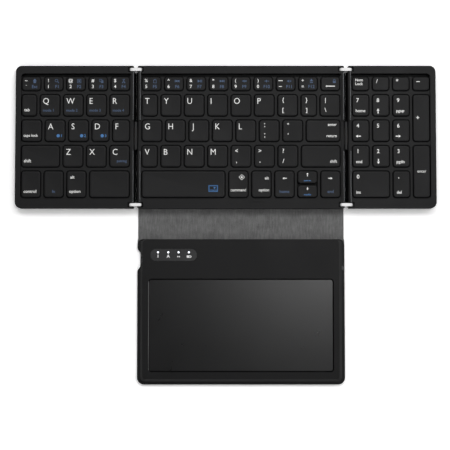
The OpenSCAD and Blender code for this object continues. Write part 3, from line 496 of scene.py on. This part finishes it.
bodyOf = {node: body for body, nodes in frame["record"]["behaviour"]["bodies"].items() for node in nodes}
keyNodes = [n for n in frame["nodes"] if n.endswith("_keys") or n.endswith("_key")]
keyBoxes = {}
for node in keyNodes:
    keyBoxes[node] = solidBoxes(node)
    whole = bmesh.new()
    for box in keyBoxes[node]:
        bm = bmesh.new()
        keycap(bm, box)
        bmesh.ops.recalc_face_normals(bm, faces=bm.faces)
        part = bpy.data.meshes.new("part")
        bm.to_mesh(part)
        bm.free()
        whole.from_mesh(part)
        bpy.data.meshes.remove(part)
    caps = newPiece("caps_" + node, whole, bodyOf[node], keyPlastic)
    smoothByAngle(caps.data, capShape["smoothAngle"])
    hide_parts(node)
print("stage: keycaps", sum(len(b) for b in keyBoxes.values()))


# Key supports: the domes and scissors under each row of keys are cut out of the switches node as a piece of their own

for node in keyNodes:
    for side in ("left", "centre", "right"):
        switches = side + "_key_switches"
        bm = bmesh.new()
        bm.from_mesh(frame["nodes"][switches].data)
        others = [v for v in bm.verts
                  if not any(b[0] < v.co.x < b[3] and b[1] < v.co.y < b[4] for b in keyBoxes[node])]
        bmesh.ops.delete(bm, geom=others, context="VERTS")
        if not bm.faces:
            bm.free()
            continue
        bmesh.ops.remove_doubles(bm, verts=bm.verts, dist=weldGap)
        supports = newPiece("supports_" + node, bm, bodyOf[switches], scissorPlastic)
        smoothByAngle(supports.data, creaseAngle)
        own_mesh(supports)
        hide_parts(switches)
print("stage: key supports")


# Legends: glyphs are turned into flat meshes and laid on the dished face of each cap

inkLift = 0.02 * mm
textLook = {"curveSteps": 3, "letterStretch": 0.92, "letterWeight": -0.004, "wordWeight": 0.011}
legendPlace = {  # side, offset from it, offset of the baseline from the top (+) or the front (-), size, ink; all in mm
    "letter": ("left", 2.3, 6.9, 6.2, 0), "word": ("left", 1.9, -3.5, 3.15, 0),
    "wideWord": ("left", 1.5, -3.5, 2.8, 0), "wordTop": ("left", 4.2, 5.6, 3.15, 0),
    "blueWord": ("left", 2.2, -3.3, 2.7, 2), "blueMid": ("mid", 0, -3.4, 3.1, 2), "dimMid": ("mid", 0, -3.4, 3.0, 2),
    "sign": ("left", 3.1, 3.9, 3.4, 0), "digit": ("left", 3.1, -1.9, 3.4, 0), "blueLow": ("right", 4.4, -1.9, 3.2, 2),
    "upper": ("left", 4.0, 5.4, 4.1, 0), "lower": ("left", 4.0, -3.1, 4.1, 0),
    "rightTop": ("end", 2.4, 4.4, 2.95, 0), "rightLow": ("end", 2.4, -3.2, 2.95, 0),
    "rightAlt": ("end", 1.7, 6.2, 2.95, 0), "rightWord": ("end", 1.4, -4.6, 2.95, 0),
    "padDigit": ("left", 4.0, 5.6, 4.0, 0), "padWord": ("start", 2.6, -2.9, 3.1, 0),
    "padSign": ("left", 3.4, 4.6, 4.0, 0), "padLineA": ("start", 2.4, 3.3, 2.8, 0),
    "padLineB": ("start", 2.4, 6.1, 2.8, 0), "blueRight": ("end", 1.9, -3.6, 2.7, 2),
    "blueHalf": ("mid", 0, -1.2, 2.7, 1),
}


def addText(bm, text, at, size, side, stretch=1.0, weight=0.0):
    curve = bpy.data.curves.new("glyphs", "FONT")
    curve.body = text
    curve.size = size * mm
    curve.offset = weight * size * mm
    curve.resolution_u = textLook["curveSteps"]
    holder = bpy.data.objects.new("glyphs", curve)
    scene.collection.objects.link(holder)
    bpy.context.view_layer.update()
    mesh = bpy.data.meshes.new_from_object(holder.evaluated_get(bpy.context.evaluated_depsgraph_get()))
    bpy.data.objects.remove(holder)
    bpy.data.curves.remove(curve)
    low, high = min(v.co.x for v in mesh.vertices), max(v.co.x for v in mesh.vertices)
    anchor = {"start": low, "end": high}.get(side, (low + high) / 2)
    mesh.transform(Matrix.Translation(at) @ Matrix.Diagonal((stretch, 1, 1, 1)) @ Matrix.Translation((-anchor, 0, 0)))
    mesh.materials.clear()
    bm.from_mesh(mesh)
    bpy.data.meshes.remove(mesh)


markSteps = {"arrow": 3, "disc": 16, "ring": 16, "bar": 4, "frame": 4, "diamond": 4}
markLine = 0.3  # line width of rings and frames in mm
squareFit = 1.414  # a square is a turned circle of four points, stretched to its full width


def addMark(bm, kind, at, size, turn=0):
    # small printed signs; an arrow with no turn points right
    first = set(bm.faces)
    made = bmesh.ops.create_circle(bm, cap_ends=True, segments=markSteps[kind], radius=0.5 * mm)["verts"]
    square = kind in ("bar", "frame")
    spin = {"arrow": turn - 90, "bar": 45, "frame": 45}.get(kind, 0)
    bmesh.ops.rotate(bm, cent=(0, 0, 0), matrix=Matrix.Rotation(math.radians(spin), 3, "Z"), verts=made)
    wide, tall = (size if isinstance(size, tuple) else (size, size))
    fit = squareFit if square else 1
    bmesh.ops.scale(bm, vec=(wide * fit, tall * fit, 1), verts=made)
    if square and turn:
        bmesh.ops.rotate(bm, cent=(0, 0, 0), matrix=Matrix.Rotation(math.radians(turn), 3, "Z"), verts=made)
    inner = [f for f in bm.faces if f not in first]
    if kind in ("ring", "frame"):
        bmesh.ops.inset_region(bm, faces=inner, thickness=markLine * mm, depth=0, use_even_offset=True,
                               use_boundary=True)
        bmesh.ops.delete(bm, geom=inner, context="FACES")
    new = [f for f in bm.faces if f not in first]
    for f in new:
        f.normal_update()
        if f.normal.z < 0:
            f.normal_flip()
    bmesh.ops.translate(bm, vec=at, verts=list({v for f in new for v in f.verts}))


pointSigns = {  # bars of the plain signs: height above the baseline in letter sizes, width and height in mm
    "_": [(0.30, 3.4, 0.5)], "-": [(0.34, 2.2, 0.46)], ":": [(0.12, 0.62, 0.62), (0.62, 0.62, 0.62)],
    ";": [(0.04, 0.5, 0.95), (0.62, 0.62, 0.62)], ".": [(0.12, 0.66, 0.66)], ",": [(0.04, 0.5, 0.95)],
}
speaker = [("bar", -0.34, 0, (0.26, 0.34), 0), ("arrow", -0.14, 0, 0.76, 180)]
iconShapes = {  # parts of each function sign: kind, place from its middle, size, turn; one unit is the sign's height
    "house": [("arrow", 0, 0.22, (1.0, 1.05), 90), ("bar", 0, -0.24, (0.56, 0.46), 0)],
    "lens": [("ring", -0.12, 0.12, 0.72, 0), ("bar", 0.30, -0.30, (0.46, 0.16), -45)],
    "select": [("frame", 0, 0, (0.9, 0.9), 0), ("bar", 0, 0, (0.36, 0.36), 0)],
    "copy": [("frame", -0.16, 0.14, (0.58, 0.66), 0), ("bar", 0.18, -0.14, (0.52, 0.62), 0)],
    "paste": [("frame", 0, -0.08, (0.72, 0.78), 0), ("bar", 0, 0.34, (0.44, 0.2), 0)],
    "cut": [("bar", 0, 0.12, (0.9, 0.13), 62), ("bar", 0, 0.12, (0.9, 0.13), -62),
            ("disc", -0.22, -0.34, 0.3, 0), ("disc", 0.22, -0.34, 0.3, 0)],
    "previous": [("bar", -0.5, 0, (0.14, 0.6), 0), ("arrow", -0.16, 0, 0.7, 180), ("arrow", 0.34, 0, 0.7, 180)],
    "play": [("arrow", -0.26, 0, 0.8, 0), ("bar", 0.22, 0, (0.14, 0.62), 0), ("bar", 0.48, 0, (0.14, 0.62), 0)],
    "next": [("bar", 0.5, 0, (0.14, 0.6), 0), ("arrow", 0.16, 0, 0.7, 0), ("arrow", -0.34, 0, 0.7, 0)],
    "mute": speaker + [("bar", 0.34, 0, (0.5, 0.12), 45), ("bar", 0.34, 0, (0.5, 0.12), -45)],
    "quieter": speaker + [("bar", 0.36, 0, (0.4, 0.13), 0)],
    "louder": speaker + [("bar", 0.36, 0, (0.4, 0.13), 0), ("bar", 0.36, 0, (0.13, 0.4), 0)],
    "eject": [("arrow", 0, 0.16, (0.9, 0.9), 90), ("bar", 0, -0.36, (0.74, 0.16), 0)],
    "lock": [("ring", 0, 0.20, 0.56, 0), ("bar", 0, -0.20, (0.66, 0.5), 0)],
}


def addIcon(bm, shape, at, size):
    for kind, dx, dy, part, turn in shape:
        scaled = tuple(v * size for v in part) if isinstance(part, tuple) else part * size
        addMark(bm, kind, (at[0] + dx * size * mm, at[1] + dy * size * mm, at[2]), scaled, turn)


def letters(text):
    return [[("letter", c)] for c in text]


def stacked(*signs):
    return [[("upper", a), ("lower", b)] for a, b in signs]


def functionRow(signs, digits, names, icons):
    return [[("sign", s), ("digit", d), ("blueLow", n), ("icon", i)] for s, d, n, i in zip(signs, digits, names, icons)]


legends = {
    "left_number_keys": functionRow("~!@#$", "`1234", ("Esc", "F1", "F2", "F3", "F4"),
                                    ("house", "lens", "select", "copy", "cut")),
    "left_qwer_keys": [[("letter", c), ("blueWord", "mode " + n)] for c, n in zip("QWER", "1234")],
    "left_asdf_keys": [[("letter", c), ("link", n)] for c, n in zip("ASD", "123")] + letters("F"),
    "left_zxc_keys": letters("ZX") + [[("letter", "C"), ("blueRight", "pairing")]],
    "left_tab_caps_keys": [[("word", "tab")], [("wideWord", "caps lock")]],
    "left_shift_key": [[("word", "shift")]],
    "left_bottom_keys": [[("word", "control")], [("dimMid", "fn")], [("wordTop", "alt"), ("word", "option")]],
    "left_space_key": [[]],
    "centre_number_keys": functionRow("%^&*()_+", "567890-=", ("F5", "F6", "F7", "F8", "F9", "F10", "F11", "F12"), (
        "paste", "previous", "play", "next", "mute", "quieter", "louder", "eject")) + [[("back", "")]],
    "centre_upper_keys": letters("TYUIOP") + stacked("{[", "}]", "|\\"),
    "centre_home_keys": letters("GHJKL") + stacked(":;", "\"'"),
    "centre_lower_keys": letters("VBNM") + stacked("<,", ">.", "?/"),
    "enter_key": [[("rightTop", "enter"), ("rightLow", "return")]],
    "right_shift_key": [[("rightLow", "shift")]],
    "right_space_key": [[("padIcon", "")]],
    "command_option_keys": [[("plain", ""), ("rightWord", "command")], [("rightAlt", "alt"), ("rightWord", "option")]],
    "arrow_keys": [[("half", 90), ("blueHalf", "pgup")], [("point", 180), ("blueMid", "home")],
                   [("point", 0), ("blueMid", "end")], [("half", -90), ("blueHalf", "pgdn")]],
    "numpad_top_keys": [[("padLineA", "Num"), ("padLineB", "Lock")], [("padSign", "/")], [("padSign", "*")],
                        [("minus", "")]],
    "numpad_digit_keys": [
        [("padDigit", "7"), ("padWord", "home")], [("padDigit", "8"), ("low", 90)],
        [("padDigit", "9"), ("padWord", "pgup")], [("padDigit", "4"), ("low", 180)], [("padDigit", "5")],
        [("padDigit", "6"), ("low", 0)], [("padDigit", "1"), ("padWord", "end")], [("padDigit", "2"), ("low", -90)],
        [("padDigit", "3"), ("padWord", "pgdn")], [("padDigit", "0"), ("padWord", "ins")],
        [("padDigit", "."), ("padWord", "del")]],
    "numpad_plus_key": [[("plus", "")]],
    "numpad_enter_key": [[("centreWord", "enter")]],
}
signParts = {  # ink, part, side and end it is placed from, mm right and rearward of them, size, turn (text: weight)
    "icon": [(2, "icon", "right", "rear", -4.4, -3.2, 3.1, 0)],
    "link": [(1, "disc", "right", "front", -4.9, 4.2, 2.4, 0), (1, "text", "right", "front", -2.5, 3.3, 2.8, 0.02)],
    "back": [(0, "bar", "middle", "front", 0.4, 3.3, (5.8, 0.62), 0), (2, "lock", "right", "rear", -4.0, -3.2, 3.0, 0),
             (0, "arrow", "middle", "front", -2.7, 3.3, 1.7, 180)],
    "plain": [(0, "frame", "right", "rear", -4.6, -4.6, (3.1, 3.1), 45),
              (0, "diamond", "right", "rear", -4.6, -4.6, 1.7, 0)],
    "padIcon": [(1, "frame", "right", "front", -8.6, 6.6, (wide, wide - 2), 0) for wide in (6.8, 6.4, 6.0)]
    + [(1, "bar", "right", "front", -8.6, 5.5, (6.4, 0.36), 0), (1, "bar", "right", "front", -8.6, 4.9, (0.36, 1.2), 0),
       (1, "arrow", "right", "front", -7.7, 7.1, 2.0, 135)],
    "minus": [(0, "bar", "left", "rear", 4.0, -3.6, (2.6, 0.5), 0)],
    "plus": [(0, "bar", "left", "halfway", 3.5, 0.3, (2.2, 0.5), turn) for turn in (0, 90)],
    "centreWord": [(0, "text", "middle", "halfway", 0, -0.8, 3.0, 0)],
}
arrowPlace = {  # side and end, mm right and rearward of them, size of the head
    "point": ("middle", "rear", 0, -5.4, 1.9), "half": ("middle", "rear", 0, -2.5, 1.7),
    "low": ("left", "front", 4.1, 3.9, 2.3),
}
arrowShape = {"headForward": 0.25, "shaftBack": 0.5, "shaftLong": 0.75, "shaftWide": 0.3}  # in sizes of the head


def printKey(inks, box, marks):
    # inks holds three meshes: white, blue and slate blue
    z = box[5] - capShape["dish"] * mm + inkLift
    place = {"left": box[0], "middle": (box[0] + box[3]) / 2, "right": box[3],
             "front": box[1], "halfway": (box[1] + box[4]) / 2, "rear": box[4]}
    for kind, value in marks:
        if kind in legendPlace:
            side, dx, dy, size, ink = legendPlace[kind]
            fromLeft, fromRight = box[0] + dx * mm, box[3] - dx * mm
            x = {"left": fromLeft, "start": fromLeft, "mid": place["middle"]}.get(side, fromRight)
            y = box[4] - dy * mm if dy > 0 else box[1] - dy * mm
            if value in pointSigns:
                for rise, wide, tall in pointSigns[value]:
                    addMark(inks[ink], "bar", (x, y + rise * size * mm, z), (wide, tall))
            elif kind == "letter":
                addText(inks[ink], value, (x, y, z), size, "start", textLook["letterStretch"], textLook["letterWeight"])
            else:
                side = "start" if kind in ("word", "wideWord", "blueWord") else side
                addText(inks[ink], value, (x, y, z), size, side, 1.0, textLook["wordWeight"])
        elif kind in arrowPlace:
            side, end, dx, dy, head = arrowPlace[kind]
            at = Vector((place[side] + dx * mm, place[end] + dy * mm, z))
            ahead = Matrix.Rotation(math.radians(value), 3, "Z") @ Vector((head * mm, 0, 0))
            addMark(inks[0], "arrow", at + ahead * arrowShape["headForward"], head, value)
            addMark(inks[0], "bar", at - ahead * arrowShape["shaftBack"],
                    (arrowShape["shaftLong"] * head, arrowShape["shaftWide"] * head), value)
        else:
            for ink, part, side, end, dx, dy, size, turn in signParts[kind]:
                at = (place[side] + dx * mm, place[end] + dy * mm, z)
                if part == "text":
                    addText(inks[ink], value, at, size, "mid", 1.0, turn)
                elif part == "icon" or part in iconShapes:
                    addIcon(inks[ink], iconShapes[value if part == "icon" else part], at, size)
                else:
                    addMark(inks[ink], part, at, size, turn)


def joinInks(name, inks, body, materials):
    whole = bmesh.new()
    for ink, part in enumerate(inks):
        for f in part.faces:
            f.material_index = ink
        mesh = bpy.data.meshes.new("ink")
        part.to_mesh(mesh)
        part.free()
        whole.from_mesh(mesh)
        bpy.data.meshes.remove(mesh)
    if whole.faces:
        newPiece(name, whole, body, materials)
    else:
        whole.free()


for node, keys in legends.items():
    inks = [bmesh.new(), bmesh.new(), bmesh.new()]
    for box, marks in zip(keyBoxes[node], keys):
        printKey(inks, box, marks)
    joinInks("legend_" + node, inks, bodyOf[node], [whiteInk, blueInk, dimInk])
print("stage: legends")


# Touch surface: a polished sloping trim round it, and a black ring in the gap that paints the gap's shade

trimShape = {"inner": 0.28, "outer": 0.88, "innerTop": 0.02, "outerTop": 0.42, "outerFoot": 0.2, "innerFoot": -0.2,
             "cornerR": 1.5, "steps": 6}
touchShadeRingShape = {"inner": -0.06, "top": 0.01, "foot": -0.3}
plateLow, plateHigh = (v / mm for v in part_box("touch_surface"))


def roundedLoop(bm, grow, z):
    # rounded rectangle round the touch surface, grown sideways by grow millimetres; z is from the surface's top
    r = trimShape["cornerR"] + grow
    loop = []
    x0, y0, x1, y1 = plateLow.x, plateLow.y, plateHigh.x, plateHigh.y
    for turn, (cx, cy) in enumerate(((x1, y1), (x0, y1), (x0, y0), (x1, y0))):
        inX, inY = (-1 if cx == x1 else 1), (-1 if cy == y1 else 1)
        for step in range(trimShape["steps"] + 1):
            angle = math.radians(90 * (turn + step / trimShape["steps"]))
            x = cx + inX * trimShape["cornerR"] + r * math.cos(angle)
            y = cy + inY * trimShape["cornerR"] + r * math.sin(angle)
            loop.append(bm.verts.new((x * mm, y * mm, (plateHigh.z + z) * mm)))
    return loop


def ringBetween(name, material, sections):
    # closed ring whose cross-section is the list of (grow, height) corners
    bm = bmesh.new()
    loops = [roundedLoop(bm, grow, z) for grow, z in sections]
    for a, b in zip(loops, loops[1:] + loops[:1]):
        for i in range(len(a)):
            j = (i + 1) % len(a)
            bm.faces.new((a[i], a[j], b[j], b[i]))
    bmesh.ops.recalc_face_normals(bm, faces=bm.faces)
    newPiece(name, bm, "touchpad_module", material)


t, g = trimShape, touchShadeRingShape
ringBetween("touch_trim", trimPlastic, [
    (t["inner"], t["innerTop"]), (t["outer"], t["outerTop"]),
    (t["outer"], t["outerFoot"]), (t["inner"], t["innerFoot"])])
# a black ring down in the gap round the surface: painted shade that makes the groove read dark
ringBetween("touch_painted_shade_ring", paintedShadeFoam, [
    (g["inner"], g["top"]), (t["inner"], g["top"]), (t["inner"], g["foot"]), (g["inner"], g["foot"])])
print("stage: touch trim")


# Indicator window: four light pipes and the small signs printed under them

signals = {"first": 5.4, "pitch": 7.4, "fromRear": 2.3, "lightR": 0.72, "lightHigh": 0.16, "signDrop": 3.1,
           "textDrop": 0.7, "textSize": 3.105, "textWeight": 0.03}
windowSigns = {  # parts of the two drawn signs, in mm
    "transfer": [("arrow", -0.55, 0, (1.3, 1.5), 90), ("arrow", 0.55, 0, (1.3, 1.5), -90)],
    "cell": [("frame", 0, 0, (3.0, 1.7), 0), ("bar", 1.7, 0, (0.4, 0.8), 0), ("bar", -0.35, 0, (1.6, 1.0), 0)],
}
windowLow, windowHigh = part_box("indicator_window")
lensMesh, signMesh = bmesh.new(), bmesh.new()
for i, sign in enumerate(("1", "A", "transfer", "cell")):
    x = windowLow.x + (signals["first"] + i * signals["pitch"]) * mm
    y, z = windowHigh.y - signals["fromRear"] * mm, windowHigh.z
    made = bmesh.ops.create_uvsphere(lensMesh, u_segments=20, v_segments=10, radius=signals["lightR"] * mm)["verts"]
    bmesh.ops.scale(lensMesh, vec=(1, 1, signals["lightHigh"]), verts=made)
    bmesh.ops.translate(lensMesh, vec=(x, y, z), verts=made)
    y, z = y - signals["signDrop"] * mm, z + inkLift
    if sign in windowSigns:
        addIcon(signMesh, windowSigns[sign], (x, y, z), 1.0)
    else:
        addText(signMesh, sign, (x, y - signals["textDrop"] * mm, z), signals["textSize"], "mid", 1.0,
                signals["textWeight"])
lenses = newPiece("window_light_pipes", lensMesh, "touchpad_module", ledLens)
lenses.data.shade_smooth()
newPiece("window_signs", signMesh, "touchpad_module", greyInk)
print("stage: indicator window")


# Hinge edges: a slim bright metal bead along each hinge lip, laid where the lip's highlight line falls (painted
# highlight), and black strips along each lip and round the link pockets (painted shade in the gaps and seams)

hingeEdge = {
    "lips": {  # x of the bead, x of the lip's edge, and which way is outwards over the gap
        "left_panel": [(-77.8, -77.2, 1)], "centre_panel": [(-72.8, -74.8, -1), (74.2, 74.8, 1)],
        "right_panel": [(79.2, 77.2, -1)]},
    "bead": 0.28, "proud": 0.1, "halfLength": 47.5, "guardGap": (-10.3, 12.3), "steps": 12,
    "shadeStrip": 1.1, "shadeStripTop": 1.8, "shadeStripThick": 0.25, "shadeStripLap": 0.05,
    "linkX": 76.0, "linkY": 49.1, "shadeFrame": 0.45, "shadeFrameTop": 0.03, "shadeFrameFoot": 0.25, "shadeFrameStart": 0.3,
    "acrossHalf": 1.62, "endReach": 5.35,
}
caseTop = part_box("centre_top_case")[1].z / mm


def addBlock(bm, x0, x1, y0, y1, z0, z1):
    made = bmesh.ops.create_cube(bm, size=1.0)["verts"]
    bmesh.ops.scale(bm, vec=(abs(x1 - x0) * mm, abs(y1 - y0) * mm, (z1 - z0) * mm), verts=made)
    bmesh.ops.translate(bm, vec=((x0 + x1) / 2 * mm, (y0 + y1) / 2 * mm, (z0 + z1) / 2 * mm), verts=made)


h = hingeEdge
for body, lips in h["lips"].items():
    beads, shadeBlocks = bmesh.new(), bmesh.new()
    half, (gapFront, gapRear) = h["halfLength"], h["guardGap"]
    for beadX, edgeX, out in lips:
        beadZ = caseTop + h["proud"] - h["bead"]
        # the bead stands in for the highlight line of the rounded lip: painted highlight
        for front, rear in ((-half, gapFront), (gapRear, half)):
            made = bmesh.ops.create_cone(beads, cap_ends=True, segments=h["steps"], radius1=h["bead"] * mm,
                                         radius2=h["bead"] * mm, depth=(rear - front) * mm)["verts"]
            bmesh.ops.rotate(beads, cent=(0, 0, 0), matrix=Matrix.Rotation(math.radians(90), 3, "X"), verts=made)
            bmesh.ops.translate(beads, vec=(beadX * mm, (front + rear) / 2 * mm, beadZ * mm), verts=made)
        # black strip on the lip, down in the hinge gap: painted shade
        addBlock(shadeBlocks, edgeX - h["shadeStripLap"] * out, edgeX + h["shadeStrip"] * out, -half, half,
                 h["shadeStripTop"] - h["shadeStripThick"], h["shadeStripTop"])
        # black frames round the link pockets: painted shade along their seams
        endX, across = math.copysign(h["linkX"], edgeX) - out * h["endReach"], h["acrossHalf"]
        wide, low, high = h["shadeFrame"], caseTop - h["shadeFrameFoot"], caseTop + h["shadeFrameTop"]
        for linkY in (-h["linkY"], h["linkY"]):
            for y in (linkY - across, linkY + across):
                addBlock(shadeBlocks, edgeX - h["shadeFrameStart"] * out, endX, y - wide / 2, y + wide / 2, low, high)
            addBlock(shadeBlocks, endX - wide / 2, endX + wide / 2, linkY - across, linkY + across, low, high)
    bead = newPiece("hinge_highlight_bead_" + body, beads, body, highlightBeadMetal)
    smoothByAngle(bead.data, creaseAngle)
    newPiece("hinge_painted_shade_" + body, shadeBlocks, body, paintedShadeFoam)
print("stage: hinge edges")


# Flexible cables: each is a flat film in two lengths that meet between the hinge's two pins

flexShape = {"wide": 12.0, "thick": 0.12, "centreY": 1.0, "height": 4.7, "meetX": 76.0, "reach": 1.8,
             "sidePinX": 78.5, "centrePinX": 73.5, "bendHalf": 2.0, "steps": 12, "stepsAcross": 6}


def flexHalf(name, outer, replaced):
    s = flexShape
    side = -1 if "left" in name else 1
    away = 1 if outer else -1
    ends = sorted((side * s["meetX"] * mm, side * (s["meetX"] + away * s["reach"]) * mm))
    middle = ((ends[0] + ends[1]) / 2, s["centreY"] * mm, (s["height"] - s["thick"] / 2) * mm)
    bm = bmesh.new()
    bmesh.ops.create_grid(bm, x_segments=s["steps"], y_segments=s["stepsAcross"], size=0.5)
    bmesh.ops.scale(bm, vec=(ends[1] - ends[0], s["wide"] * mm, 1), verts=bm.verts)
    bmesh.ops.translate(bm, vec=middle, verts=bm.verts)
    thicken(bm, s["thick"] * mm)
    film = newPiece(name, bm, None, flexFilm)
    if replaced:
        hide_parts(replaced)
    if outer:
        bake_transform(film)
    else:
        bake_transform(film)


for side in ("left", "right"):
    flexHalf(side + "_flex_outer", True, side + "_flex_cable")
    flexHalf(side + "_flex_inner", False, None)
print("stage: flexible cables")


# Cover cloth: one long sheet in four lengths, under the keyboard, across the spine in two halves, and under the module

clothShape = {"halfWidth": 74.3, "thick": 0.68, "lift": 0.01, "axisInset": 0.35, "foldZone": 1.5, "grip": 0.2,
              "columns": 40, "flatRows": 24, "foldRows": 30}
spineLow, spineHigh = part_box("cover_spine")
backLow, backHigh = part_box("cover_back")
padLow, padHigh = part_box("pad_cover")
nearAxis = spineHigh.y - clothShape["axisInset"] * mm
farAxis = spineLow.y + clothShape["axisInset"] * mm
midSpine = (nearAxis + farAxis) / 2


def mapFlat(bm):
    # the weave is laid out on the flat sheet, in metres, so it bends with the cloth
    uv = bm.loops.layers.uv.new("flatCloth")
    for f in bm.faces:
        for loop in f.loops:
            loop[uv].uv = (loop.vert.co.x, loop.vert.co.y)


def clothStrip(name, y0, y1, body, rows, replaced):
    s = clothShape
    bm = bmesh.new()
    bmesh.ops.create_grid(bm, x_segments=s["columns"], y_segments=rows, size=0.5)
    bmesh.ops.scale(bm, vec=(2 * s["halfWidth"] * mm, y1 - y0, 1), verts=bm.verts)
    bmesh.ops.translate(bm, vec=(0, (y0 + y1) / 2, s["lift"] * mm), verts=bm.verts)
    thicken(bm, s["thick"] * mm)
    mapFlat(bm)
    sheet = newPiece(name, bm, body, coverCloth)
    if replaced:
        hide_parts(replaced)
    return sheet


flatRows, foldRows = clothShape["flatRows"], clothShape["foldRows"]
clothStrip("cloth_under_keyboard", backLow.y, backHigh.y, "centre_panel", flatRows, "cover_back")
nearStrip = clothStrip("cloth_spine_near", midSpine, backLow.y, None, foldRows, "cover_spine")
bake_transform(nearStrip)
farStrip = clothStrip("cloth_spine_far", padHigh.y, midSpine, None, foldRows, None)
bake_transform(farStrip)

# the module's cover keeps the CAD outline with its notch, as cloth
bm = bmesh.new()
bm.from_mesh(frame["nodes"]["pad_cover"].data)
bmesh.ops.remove_doubles(bm, verts=bm.verts, dist=weldGap)
bmesh.ops.dissolve_limit(bm, angle_limit=math.radians(1), verts=bm.verts, edges=bm.edges)
mapFlat(bm)
padCloth = newPiece("cloth_under_module", bm, "touchpad_module", coverCloth)
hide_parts("pad_cover")
print("stage: cover cloth")
